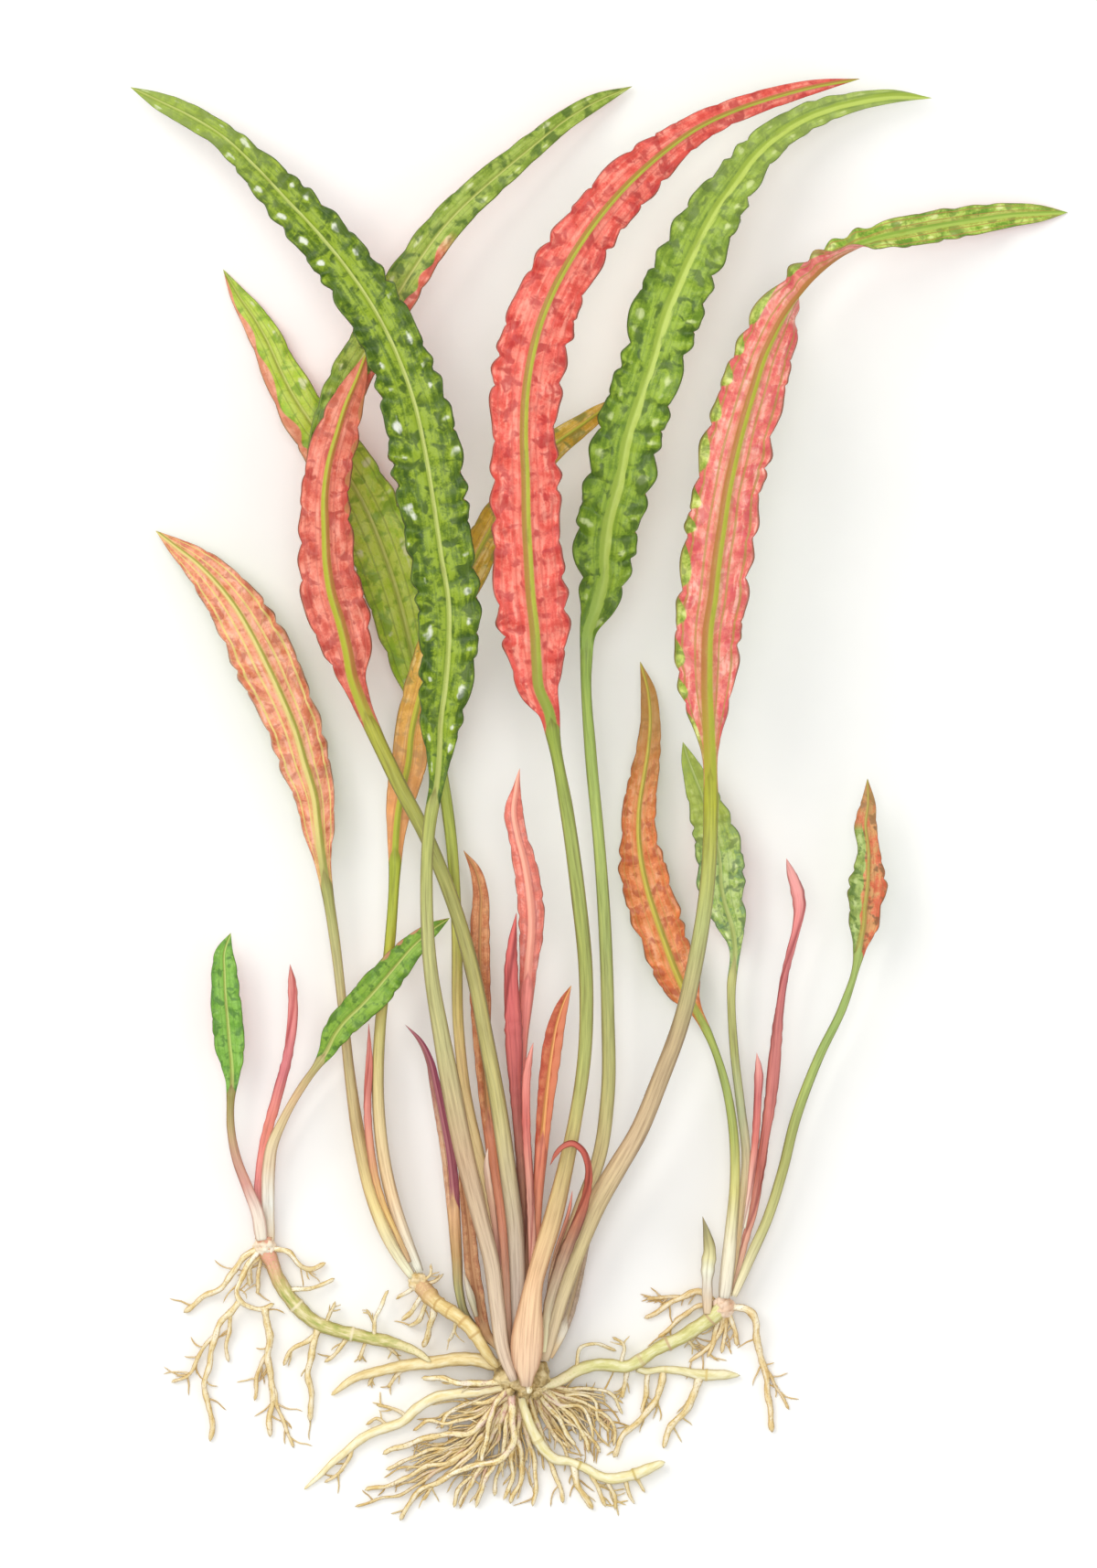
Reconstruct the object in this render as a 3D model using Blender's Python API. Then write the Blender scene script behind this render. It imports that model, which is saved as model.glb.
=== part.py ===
"""A bare-rooted water plant with ribbon leaves, runners and plantlets, lying on a flat surface.

All rows below are in millimetres. X runs to the right, Y from the roots to the leaf tips and Z up
from the surface. They are counted from the point under the main rhizome, and CROWN_X and CROWN_Y
place that point so that the part's origin is the middle of its footprint.
"""
import math

import bmesh
import bpy
from mathutils import Vector

MM = 0.001

# Place of the main rhizome, and the height that lets the lowest root touch the surface
CROWN_X = -32.5
CROWN_Y = -251.5
GROUND_LIFT = -0.1

# Section of a leaf from its left edge over the top and back underneath, as shares of half the
# width and of the depth. It is flatter above than below, and a spear has one corner less.
LEAF_SECTION = ((-1, 0), (0, 0.75), (1, 0), (0.6, -0.75), (0, -1), (-0.6, -0.75))
SPEAR_SECTION = ((-1, 0), (0, 0.9), (1, 0), (0.55, -0.85), (-0.55, -0.85))
TOP_SIDES = 2
STALK_ROUNDNESS = 0.85
STALK_DEPTH_LIMIT = 4.6
BLADE_HALF_THICKNESS = 0.6
MIDRIB_START = 1.6
MIDRIB_END = 0.3
CHANNEL_FOLD = 0.2
EDGE_ANGLE = 50

# Sections of the roots: bevel resolutions that give 4 and 6 sides
FINE_ROOT = 0
THICK_ROOT = 1
WELD = 0.00002
KNOB_SEGMENTS = 8
KNOB_RINGS = 6


def clear_scene():
    """Remove every object of the scene that the script starts in."""
    for old in list(bpy.data.objects):
        bpy.data.objects.remove(old, do_unlink=True)


def new_collection(name):
    collection = bpy.data.collections.new(name)
    bpy.context.scene.collection.children.link(collection)
    return collection


def to_metres(point):
    """World position in metres of a point counted in millimetres from the main rhizome."""
    x, y, z = point
    return Vector((x + CROWN_X, y + CROWN_Y, z + GROUND_LIFT)) * MM


def plant_material(name, hex_colour):
    """Plain moist plant tissue of one colour, given as sRGB hex."""
    channels = [int(hex_colour[i:i + 2], 16) / 255 for i in (0, 2, 4)]
    linear = [c / 12.92 if c <= 0.04045 else ((c + 0.055) / 1.055) ** 2.4 for c in channels]
    material = bpy.data.materials.new(name)
    material.use_nodes = True
    shader = material.node_tree.nodes["Principled BSDF"]
    shader.inputs["Base Color"].default_value = (*linear, 1.0)
    shader.inputs["Roughness"].default_value = 0.5
    shader.inputs["Metallic"].default_value = 0.0
    return material


def add_object(name, mesh, collection, hex_colour=None):
    piece = bpy.data.objects.new(name, mesh)
    collection.objects.link(piece)
    if hex_colour:
        mesh.materials.clear()
        mesh.materials.append(plant_material(name, hex_colour))
    return piece


def section_axes(centres, rolls):
    """Width and upward directions at each ring, turned about the leaf's own line by its roll."""
    axes = []
    last = len(centres) - 1
    for i, roll in enumerate(rolls):
        along = (centres[min(i + 1, last)] - centres[max(i - 1, 0)]).normalized()
        level = along.cross(Vector((0, 0, 1))).normalized()
        upward = level.cross(along)
        turn = math.radians(roll)
        width = level * math.cos(turn) + upward * math.sin(turn)
        normal = upward * math.cos(turn) - level * math.sin(turn)
        axes.append((width, normal))
    return axes


def leaf(name, hex_colour, stalk, blade, tip, section=LEAF_SECTION, roll=0.0, twist=None):
    """One whole leaf: an oval stalk that flattens into a folded blade with a midrib underneath.

    Rows hold x, y, z and half the width. roll is 180 where the underside shows, and twist gives
    the roll of single blade rows, for a blade that turns over on its way to the tip.
    """
    rows = list(stalk) + list(blade)
    centres = [to_metres(row[:3]) for row in rows] + [to_metres(tip)]
    rolls = [roll] * len(centres)
    if twist:
        first_turned = len(stalk) + len(blade) - len(twist)
        rolls[first_turned:] = list(twist) + [twist[-1]]
    axes = section_axes(centres, rolls)

    bm = bmesh.new()
    rings = []
    for i, row in enumerate(rows):
        half_width = row[3]
        flat = 0.0 if i < len(stalk) else 1.0
        progress = max(0, i - len(stalk)) / max(1, len(blade) - 1)
        rib = flat * (MIDRIB_START + (MIDRIB_END - MIDRIB_START) * progress)
        round_depth = min(half_width * STALK_ROUNDNESS, STALK_DEPTH_LIMIT)
        depth = BLADE_HALF_THICKNESS if flat else round_depth
        width, normal = axes[i]
        ring = []
        for across, up in section:
            lift = up * depth + flat * CHANNEL_FOLD * abs(across) * half_width
            if up < 0:
                lift -= rib * (1 - abs(across))
            offset = width * (across * half_width) + normal * lift
            ring.append(bm.verts.new(centres[i] + offset * MM))
        rings.append(ring)
    apex = bm.verts.new(centres[-1])

    sides = len(section)
    bm.faces.new(list(reversed(rings[0])))
    for lower, upper in zip(rings, rings[1:]):
        for k in range(sides):
            n = (k + 1) % sides
            if k < TOP_SIDES:
                bm.faces.new((lower[k], lower[n], upper[n]))
                bm.faces.new((lower[k], upper[n], upper[k]))
            else:
                bm.faces.new((lower[k], lower[n], upper[k]))
                bm.faces.new((lower[n], upper[n], upper[k]))
    for k in range(sides):
        bm.faces.new((rings[-1][k], rings[-1][(k + 1) % sides], apex))

    mesh = bpy.data.meshes.new(name)
    bm.to_mesh(mesh)
    bm.free()
    mesh.shade_smooth()
    mesh.set_sharp_from_angle(angle=math.radians(EDGE_ANGLE))
    return add_object(name, mesh, PARTS, hex_colour)


def spear(name, hex_colour, rows, tip, section=SPEAR_SECTION):
    """A young leaf that is still rolled up: one tapering shoot from base to tip."""
    return leaf(name, hex_colour, rows, [], tip, section=section)


def tube_mesh(name, points, start_radius, end_radius, resolution):
    """Mesh of a tapering tube along the points, or one with the radius given in each point."""
    curve = bpy.data.curves.new(name, "CURVE")
    curve.dimensions = "3D"
    curve.bevel_depth = MM
    curve.bevel_resolution = resolution
    curve.use_fill_caps = True
    spline = curve.splines.new("POLY")
    spline.points.add(len(points) - 1)
    for i, point in enumerate(points):
        share = i / (len(points) - 1)
        spline.points[i].co = (*to_metres(point[:3]), 1.0)
        spline.points[i].radius = start_radius + (end_radius - start_radius) * share
        if len(point) == 4:
            spline.points[i].radius = point[3]
    guide = bpy.data.objects.new(name, curve)
    bpy.context.scene.collection.objects.link(guide)
    evaluated = guide.evaluated_get(bpy.context.evaluated_depsgraph_get())
    mesh = bpy.data.meshes.new_from_object(evaluated)
    bpy.data.objects.remove(guide, do_unlink=True)
    bpy.data.curves.remove(curve)
    bm = bmesh.new()
    bm.from_mesh(mesh)
    bmesh.ops.remove_doubles(bm, verts=bm.verts, dist=WELD)
    bm.to_mesh(mesh)
    bm.free()
    return mesh


def knob_mesh(name, centre, radii):
    """Mesh of one rounded swelling of a rhizome."""
    mesh = bpy.data.meshes.new(name)
    bm = bmesh.new()
    bmesh.ops.create_uvsphere(bm, u_segments=KNOB_SEGMENTS, v_segments=KNOB_RINGS, radius=MM)
    bmesh.ops.scale(bm, vec=radii, verts=bm.verts)
    bmesh.ops.translate(bm, vec=to_metres(centre), verts=bm.verts)
    bm.to_mesh(mesh)
    bm.free()
    return mesh


def grown_together(name, hex_colour, base_mesh, growths):
    """One body of a base mesh and everything that grows from it, joined by a union."""
    body = add_object(name, base_mesh, PARTS, hex_colour)
    if growths:
        group = new_collection(name + "_growths")
        for number, mesh in enumerate(growths, start=1):
            growth = add_object(f"{name}_growth_{number}", mesh, group)
            growth.hide_render = True
            growth.display_type = "WIRE"
        union = body.modifiers.new("Union with growths", "BOOLEAN")
        union.operation = "UNION"
        union.solver = "EXACT"
        union.operand_type = "COLLECTION"
        union.collection = group
    return body


def roots(name, rows):
    """Meshes of several fine roots. Each row holds the two radii and the points of one root."""
    return [
        tube_mesh(f"{name}_{number}", points, start, end, FINE_ROOT)
        for number, (start, end, points) in enumerate(rows, start=1)
    ]


def main_plant_green_leaves():
    """The four leaves of the main plant that show their green upper side."""
    leaf(
        "front_green_leaf", "5E8F1E",
        stalk=[
            (-6, -0.5, 26, 2.2), (-9.5, 9, 27, 3.1), (-12.3, 28, 28.5, 3.5), (-15.2, 50, 30.5, 3.6),
            (-20.5, 71, 33.5, 3.8), (-26.5, 95, 38.5, 4.2), (-32, 123, 44, 4.4),
            (-37, 150, 49, 3.7), (-41.5, 178, 54, 3.1), (-43.2, 205, 57.5, 2.8),
            (-41.5, 244, 62, 2.9),
        ],
        blade=[
            (-38.5, 261, 64, 3.6), (-37.5, 273, 65, 6), (-37, 286, 66, 9), (-35, 301, 67.5, 11),
            (-33.5, 319, 69, 12.5), (-33.5, 337, 70, 13.7), (-37, 360, 71, 14),
            (-40.5, 384, 71.5, 15), (-44, 405, 71, 15.5), (-48.5, 425, 70, 14.3),
            (-56, 446, 68, 12.8), (-66, 466, 65, 12.8), (-78, 484, 60, 12), (-91, 500, 54.5, 11.2),
            (-105, 515, 48, 9.8), (-119, 530, 41, 7.5), (-133, 543, 34, 5.6), (-148, 552.5, 27, 5.2),
            (-161, 559, 21, 3.8),
        ],
        tip=(-174, 565.5, 15),
    )
    leaf(
        "right_green_leaf", "5C8A1C",
        stalk=[
            (6.5, 9, 11, 2.4), (10.5, 28, 11, 2.7), (17.5, 54, 11.5, 2.9), (25, 75, 13, 3),
            (32, 94, 15.5, 3.1), (36, 122, 18.5, 3.1), (36, 160, 22.5, 2.9), (34.5, 200, 26.5, 2.8),
            (32, 235, 30, 2.6), (28.5, 272, 34, 2.6), (26.5, 311, 39, 2.6),
        ],
        blade=[
            (27.5, 326, 40.5, 3.8), (31.5, 338, 42, 8), (34, 349, 43.5, 10.5), (34.7, 362, 45, 13.3),
            (37, 377, 47, 13.6), (41, 392, 48.5, 14.6), (44.5, 410, 50.3, 14.5),
            (50, 427, 51.2, 14.2), (56, 445, 51, 13.4), (61.5, 464, 49.5, 15.2), (68, 480, 47, 14),
            (75, 495, 44, 13.4), (83, 510, 40.5, 11.8), (92, 523, 36, 9.5), (101, 535, 31, 8.2),
            (112, 545, 26, 7), (126, 553, 21, 6), (143, 558.5, 16.5, 4.4), (161, 561.5, 12.5, 3),
        ],
        tip=(179, 561, 9),
    )
    leaf(
        "back_green_leaf", "88A83C",
        stalk=[
            (-5, 9, 10, 1.9), (-6.5, 28, 8.5, 2.1), (-7.2, 50, 7.5, 2.2), (-8, 75, 8, 2.2),
            (-10.5, 100, 9.5, 2.2), (-16, 135, 11.5, 2.2), (-23, 170, 13.5, 2.2),
            (-31.5, 203, 15.5, 2.2), (-41, 228, 17, 2.3), (-52, 251, 18.5, 2.4),
            (-62, 272, 21, 2.6),
        ],
        blade=[
            (-70, 289, 24, 3.6), (-76, 306, 27, 5.5), (-81.5, 330, 30, 7.9), (-85.5, 356, 31.7, 9.2),
            (-87.5, 384, 32.5, 9.3), (-86.5, 404, 33, 9.2), (-83.5, 420, 33.5, 9),
            (-77.5, 436, 33, 9), (-68, 453, 33, 9), (-58.5, 470, 33, 8.8), (-49.5, 484.5, 32.5, 8.3),
            (-41, 497, 31.5, 7.8), (-31, 509, 29.5, 7.3), (-20, 519.5, 27, 6.8), (-8, 530, 23.5, 6.2),
            (5, 541, 19, 5.3), (18, 551.5, 13.5, 4.5), (32, 560, 7.5, 3.4),
        ],
        tip=(47, 566.5, 2.5),
    )
    leaf(
        "left_green_leaf", "8FB23C",
        stalk=[
            (-9, 9, 13, 2), (-10.8, 28, 12.5, 2.3), (-12.2, 50, 12, 2.4), (-15.5, 75, 12, 2.4),
            (-21, 98, 11.8, 2.4), (-26.3, 122, 11, 2.4), (-29.5, 150, 10, 2.4),
            (-30.6, 200, 8.8, 2.4), (-33.5, 240, 9.6, 2.6), (-38.5, 270, 11, 3),
        ],
        blade=[
            (-43, 287, 12, 4.2), (-46.2, 300, 13, 7.2), (-49.5, 314, 14, 10.5),
            (-53, 329, 15, 12.5), (-57.5, 346, 16, 14), (-63, 362, 16.5, 14.5),
            (-69.5, 378, 17, 14.5), (-78, 394, 16.5, 13.5), (-87, 408, 15.5, 12),
            (-96, 420, 14, 10.5), (-103, 431, 12, 9.3), (-108.5, 442, 9.5, 8),
            (-113.5, 453, 7, 7.2), (-119, 463, 4.5, 6), (-126.5, 474, 2.3, 3.8),
        ],
        tip=(-133.5, 486, 0.6),
    )


def main_plant_red_leaves():
    """The three large leaves of the main plant that show their red underside."""
    leaf(
        "left_red_leaf", "E4566A",
        stalk=[
            (-2.6, 9, 21, 2.4), (-3.4, 28, 22.5, 3), (-3.6, 45, 24.5, 3.5), (-4.4, 62, 26.2, 3.7),
            (-7.8, 89, 28.8, 3.7), (-12, 118, 31, 3.6), (-17.5, 148, 33.5, 3.4),
            (-24, 181, 36.2, 3.1), (-32.5, 209, 38.5, 3.1), (-43, 235, 40.7, 3.2),
            (-56, 260, 43, 3.3), (-66, 281, 44.8, 3.4),
        ],
        blade=[
            (-72, 295, 46, 4.2), (-75.8, 306, 47, 6.3), (-78, 318, 48, 10.6), (-81, 330, 48.5, 13),
            (-84.7, 342, 49, 13.4), (-86.8, 355, 49.2, 12.3), (-87.5, 369, 48.6, 11.6),
            (-87.8, 384, 47.6, 10.6), (-86, 399, 46.2, 10.2), (-82.5, 412, 44.4, 9.5),
            (-78.5, 425, 42.3, 7.4), (-73.5, 437, 40.2, 4.4),
        ],
        tip=(-69.5, 448, 38.2),
        roll=180,
    )
    leaf(
        "centre_red_leaf", "F0605C",
        stalk=[
            (0.3, -2.5, 27.5, 3), (0.3, 4, 29, 5.8), (0.5, 12, 30, 7.2), (1, 20, 30.8, 6.8),
            (2, 30, 31.5, 5.2), (3.6, 40, 32.5, 4.1), (6.3, 50, 34, 4.1), (11.5, 67, 36.8, 4.2),
            (16.7, 88, 39.5, 3.6), (21.5, 111, 42.8, 3), (25.7, 140, 48.5, 3), (26.3, 176, 56, 3.1),
            (22.8, 212, 64, 3.2), (18, 247, 71, 3), (12, 280, 76, 3.2),
        ],
        blade=[
            (10.3, 290, 77.5, 4.8), (5.8, 301, 79, 9.2), (4.8, 312, 80.5, 11.8), (4, 325, 82, 15),
            (2.3, 340, 84, 15.6), (1.2, 357, 85.5, 15), (0.3, 374, 86.5, 14.6),
            (0, 392, 87, 15), (-0.7, 410, 87, 13.6), (0.3, 431, 86, 15.5), (3, 447, 84.5, 15),
            (6.5, 460, 82.5, 15), (11.5, 472.5, 80, 13.6), (18, 485, 76.5, 13.4),
            (25.5, 497, 72.5, 12.6), (33.5, 508, 68, 11.6), (42, 518, 63, 11.6), (52, 528, 57, 10.6),
            (62.5, 537, 51, 8.4), (75, 546, 44, 6.6), (90, 553.5, 37, 5.4), (108, 560, 30, 4.6),
            (128, 565.5, 23.5, 3),
        ],
        tip=(147, 569, 18),
        roll=180,
    )
    leaf(
        "right_pink_leaf", "F4808C",
        stalk=[
            (8.5, 8, 18, 2.6), (11.3, 20, 18.3, 3.6), (14.2, 31, 19, 4.1), (18.8, 45, 21.5, 4.4),
            (25.2, 62, 26.5, 4.6), (31.5, 76, 31, 4.7), (40.5, 91.5, 36.5, 4.4),
            (48.5, 105, 40.5, 4.1), (58.5, 129, 46.3, 3.9), (68, 155, 51, 3.7), (74.7, 184, 55.5, 3.5),
            (79.2, 214, 59.5, 3.3), (80.8, 250, 63.5, 3.3),
        ],
        blade=[
            (80.3, 273, 65.8, 3.8), (79.7, 285, 66.5, 7), (79.1, 297, 67, 11.2), (79, 311, 67.5, 13.4),
            (79.5, 326, 68, 14.4), (81.7, 341, 68.5, 15), (83.3, 356, 69, 15), (85.5, 371, 69, 15.6),
            (87.8, 386, 68.5, 14.4), (91.2, 402, 67.5, 15.4), (95, 417, 66, 14.3),
            (99.5, 432, 63.5, 14.2), (104, 446, 60.5, 12.7), (107.3, 453.5, 58.7, 12.2),
            (111, 461, 56.3, 11.5), (115.5, 468.3, 53.5, 10.2), (120.5, 475, 50.3, 8.8),
            (126, 481.3, 46.8, 7.5), (132, 486.8, 43, 6.4), (138.5, 491.3, 39.5, 6),
            (145.5, 494.8, 36, 6.1), (153, 497.7, 32, 6.3), (161, 499.9, 28, 6.6),
            (170, 502, 23.5, 6.9), (185, 505, 16.5, 6.9), (200, 507.5, 10.5, 6.3),
            (215, 509.7, 5.8, 5.2), (228, 510.5, 2.8, 3.4),
        ],
        tip=(239, 511, 0.6),
        roll=180,
        twist=(170, 160, 145, 127, 107, 86, 65, 45, 27, 12, 0, 0, 0, 0, 0),
    )


def main_plant_young_leaves():
    """Half-grown, rolled and reduced leaves in the heart of the main plant, and its old sheaths."""
    leaf(
        "young_pink_leaf", "E06468",
        stalk=[
            (-2.3, 9, 13, 1.8), (-1.8, 50, 13.5, 2), (-1.9, 75, 17, 2), (-2.4, 100, 21.5, 2.1),
            (-2.5, 125, 27, 2.2), (-1.5, 148, 32, 2.6), (0.2, 165, 36, 3.2),
        ],
        blade=[
            (1.3, 180, 39.5, 4), (2.6, 196, 43, 5.5), (1.6, 212, 46.5, 5.6), (-0.8, 226, 49, 5),
            (-3.6, 237, 50.5, 4), (-5.2, 247, 51.5, 4.2), (-4, 257, 52, 1.8),
        ],
        tip=(-2.6, 266, 52),
        roll=180,
    )
    spear(
        "young_crimson_leaf", "A8283C",
        [
            (0.4, 9, 17, 1.5), (0.4, 50, 17.8, 1.9), (-1.3, 82, 22.5, 2.1), (-2.8, 102, 26.5, 2.3),
            (-4.2, 124, 32, 2.8), (-5.2, 150, 38.5, 3.9), (-6.2, 165, 42, 3.8),
            (-6.5, 178, 44.5, 3.1), (-5.8, 190, 46.5, 2),
        ],
        tip=(-4, 203, 48.5),
    )
    leaf(
        "young_brown_leaf", "C87840",
        stalk=[
            (-8, 9, 19.3, 1.6), (-8.3, 42, 19.3, 2), (-9.6, 58, 20, 2.2), (-11.6, 75, 21.5, 2.5),
            (-14.5, 97, 23, 2.9),
        ],
        blade=[
            (-17.3, 123, 24.5, 3.5), (-19.2, 150, 25.8, 4.2), (-20, 168, 27, 4.6),
            (-20.2, 185, 28.5, 4.5), (-20, 200, 30.5, 4.1), (-19.8, 211, 32.5, 3.4),
            (-22, 221, 34.5, 2.4),
        ],
        tip=(-27.3, 230, 36.5),
    )
    leaf(
        "young_orange_leaf", "D87838",
        stalk=[
            (4.2, 9, 19.5, 1.5), (4.3, 48, 21.3, 1.9), (5.3, 78, 27.5, 2.3), (6.5, 94, 31, 2.8),
        ],
        blade=[
            (7.8, 110, 34.5, 3.3), (9.4, 126, 38, 3.9), (11.3, 141, 41, 4.3),
            (13.6, 154, 43.5, 3.7), (16.8, 164, 45.5, 2.2),
        ],
        tip=(20, 171, 46.5),
    )
    leaf(
        "purple_leaf", "6E2A5C",
        stalk=[
            (-12.5, 12, 15.5, 1.6), (-20, 17.5, 13, 1.7), (-26.3, 25, 12, 1.8), (-29.2, 35, 12, 2),
            (-30.3, 50, 12.5, 2.4), (-31.5, 68, 14.3, 2.8),
        ],
        blade=[
            (-32.5, 82, 16.5, 3.2), (-34.3, 98, 19.5, 3.2), (-37, 113, 22.5, 2.9),
            (-39.8, 127, 25, 2.4), (-42.3, 138, 26.5, 1.7), (-46.5, 146.5, 27.5, 1.1),
        ],
        tip=(-53, 153.5, 28),
    )
    spear(
        "hooked_leaf", "A83030",
        [
            (8, 12, 23.3, 1.6), (8.8, 22, 24.6, 1.9), (10.8, 33, 26, 2.4), (14, 44, 28, 2.7),
            (18, 55, 31, 2.8), (22, 65, 34.5, 2.6), (25.4, 75, 38, 2.2), (27.4, 85, 42, 1.8),
            (27, 93.5, 45.5, 1.6), (24.3, 99.3, 47.7, 1.5), (20.3, 101.8, 48.5, 1.4),
            (16, 100.2, 48.3, 1.2), (12.8, 96.5, 47.5, 0.9),
        ],
        tip=(10.6, 92, 46.5),
    )
    spear(
        "small_pink_spear", "E07878",
        [
            (1.6, 9, 22.6, 1.1), (2.9, 48, 26.2, 1.6), (2.6, 64, 28.5, 1.8), (1.8, 82, 31.5, 1.8),
            (0.2, 116, 37, 2), (0.5, 130, 39, 1.9), (1.8, 139, 40.5, 1.3),
        ],
        tip=(3.4, 146, 41.5),
    )
    spear(
        "small_red_spear", "D85050",
        [
            (8.6, 26, 21.3, 0.7), (10, 38, 23, 0.8), (12, 49, 26, 0.9), (14.3, 57, 29.5, 1),
            (17, 65, 33, 1), (19.2, 73, 36, 0.8),
        ],
        tip=(20.5, 81, 38),
    )
    spear(
        "small_salmon_spear", "E89078",
        [
            (-11.3, 36, 23.3, 0.8), (-12, 50, 24, 1.1), (-13.2, 62, 25.3, 1.4),
            (-14.8, 74, 27, 1.7), (-16.4, 85, 28.5, 1.7), (-17.2, 93, 29.5, 1.1),
        ],
        tip=(-16.6, 99.5, 30),
    )
    leaf(
        "left_sheath", "B07040",
        stalk=[(-12.8, 12, 20, 1.6), (-17, 17, 20.5, 2.2)],
        blade=[
            (-20, 26, 21, 3), (-22, 37, 21.5, 3.4), (-23.8, 49, 22, 3.3), (-24.8, 61, 22.5, 3),
            (-26.2, 73, 23.5, 2.4), (-28, 84, 24.5, 1.4),
        ],
        tip=(-29.6, 93, 25),
    )
    leaf(
        "right_sheath", "B8A088",
        stalk=[(11.5, 9, 13.5, 1.7), (15.3, 17, 13, 2.4)],
        blade=[(18.8, 27, 13, 2.8), (21.8, 38, 13, 2.6), (24.6, 49, 13.5, 2), (27, 57, 14, 1.2)],
        tip=(29.3, 63.5, 14.5),
    )
    spear(
        "pale_scale", "D8D4C8",
        [(-22.3, 27.5, 25.4, 1.2), (-24, 34, 25.5, 1.7), (-25.8, 40, 25.4, 1.1)],
        tip=(-27.2, 45, 25.2),
    )


def offset_plant():
    """The older side shoot to the left: its three leaves and its arching rhizome with roots."""
    leaf(
        "salmon_leaf", "EE8868",
        stalk=[
            (-51.2, 44, 12.5, 2), (-56.7, 52.5, 13, 2.7), (-62.5, 64, 14, 3.1), (-67.5, 78, 14.5, 3.2),
            (-72.3, 98, 15, 3.1), (-77.3, 130, 14.5, 2.4), (-80.2, 157, 13.2, 2.1),
            (-84, 190, 14, 2.3), (-87, 210, 15.5, 2.6),
        ],
        blade=[
            (-89.5, 226, 17, 4), (-91.2, 240, 18.5, 7.2), (-92.7, 253, 20, 8.7), (-97, 268, 22, 11),
            (-101.3, 283, 24, 11.8), (-107, 297, 25, 12.3), (-113.5, 311, 25.5, 13.8),
            (-120, 324, 25, 13), (-127.7, 337, 23.5, 11.6), (-136, 347.5, 21, 9.6),
            (-145, 356.5, 17.5, 7), (-154, 363.5, 13, 4),
        ],
        tip=(-163, 370.5, 8),
        roll=180,
    )
    leaf(
        "ochre_leaf", "D8962A",
        stalk=[
            (-47.6, 46.7, 14.2, 2), (-52, 57, 15.5, 2.7), (-56.5, 69.5, 16.7, 2.9),
            (-62, 92, 18, 2.8), (-64.8, 118, 18.5, 2.7), (-64, 152, 19.5, 2.5),
            (-59.8, 188, 21.5, 2.4), (-57.5, 222, 24, 2.7),
        ],
        blade=[
            (-57, 235, 25, 3.8), (-56, 246, 26, 5.3), (-54.2, 256, 26.5, 6.8), (-51.5, 268, 27.5, 8),
            (-50, 282, 28.5, 7.3), (-46.5, 297, 30, 7.8), (-41, 314, 32, 8.3), (-32.5, 336, 34.7, 8.5),
            (-23, 356, 36.5, 8), (-12, 376, 37.5, 7.3), (1, 395, 37.2, 6.7), (13, 408, 36, 6),
            (23.5, 415.5, 35, 4.8), (33, 422.5, 33, 3.3),
        ],
        tip=(42, 429, 31),
        roll=180,
    )
    spear(
        "offset_red_spear", "F08078",
        [
            (-52, 51, 18.3, 1), (-57, 62, 19.5, 1.3), (-62, 73, 20.3, 1.5), (-66, 86, 20.5, 1.7),
            (-68.2, 99, 20.5, 1.8), (-69.6, 116, 20.5, 1.8), (-68.8, 138, 20.5, 1.5),
        ],
        tip=(-69, 154, 20.5),
    )
    arch = [
        (-45, 37, 12.5, 3.9), (-41, 32.5, 16, 3.5), (-35, 28.5, 21.5, 3.2), (-29, 24.5, 26, 3.1),
        (-23.5, 19, 27.8, 2.9), (-19, 12.5, 26.8, 2.6), (-15.8, 7, 24, 2.3),
    ]
    fine = roots("offset_root", [
        (1.2, 1.0, [(-45, 35, 12), (-49, 28, 8), (-55, 22.5, 4)]),
        (1.2, 1.0, [(-43, 33, 14), (-47, 24, 7), (-51.5, 19.5, 2.5)]),
        (1.6, 1.2, [(-41, 32, 15), (-41, 23, 11), (-45.5, 10.5, 2.5)]),
        (0.9, 0.7, [(-45, 39, 12), (-40, 40.5, 12), (-36, 43.5, 10)]),
        (0.8, 0.6, [(-46, 40, 13), (-42, 43, 14), (-41, 48, 12)]),
        (1.0, 0.8, [(-48, 39, 11), (-53.5, 34, 8), (-57, 31.5, 5.5)]),
        (1.0, 0.7, [(-30, 25, 25), (-32, 17.5, 17), (-35, 14, 9)]),
    ])
    grown_together(
        "offset_rhizome", "E0C880",
        knob_mesh("offset_rhizome", (-47.5, 40, 11.3), (4.4, 4.2, 4.2)),
        [tube_mesh("offset_arch", arch, 1, 1, THICK_ROOT)] + fine,
    )


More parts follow.
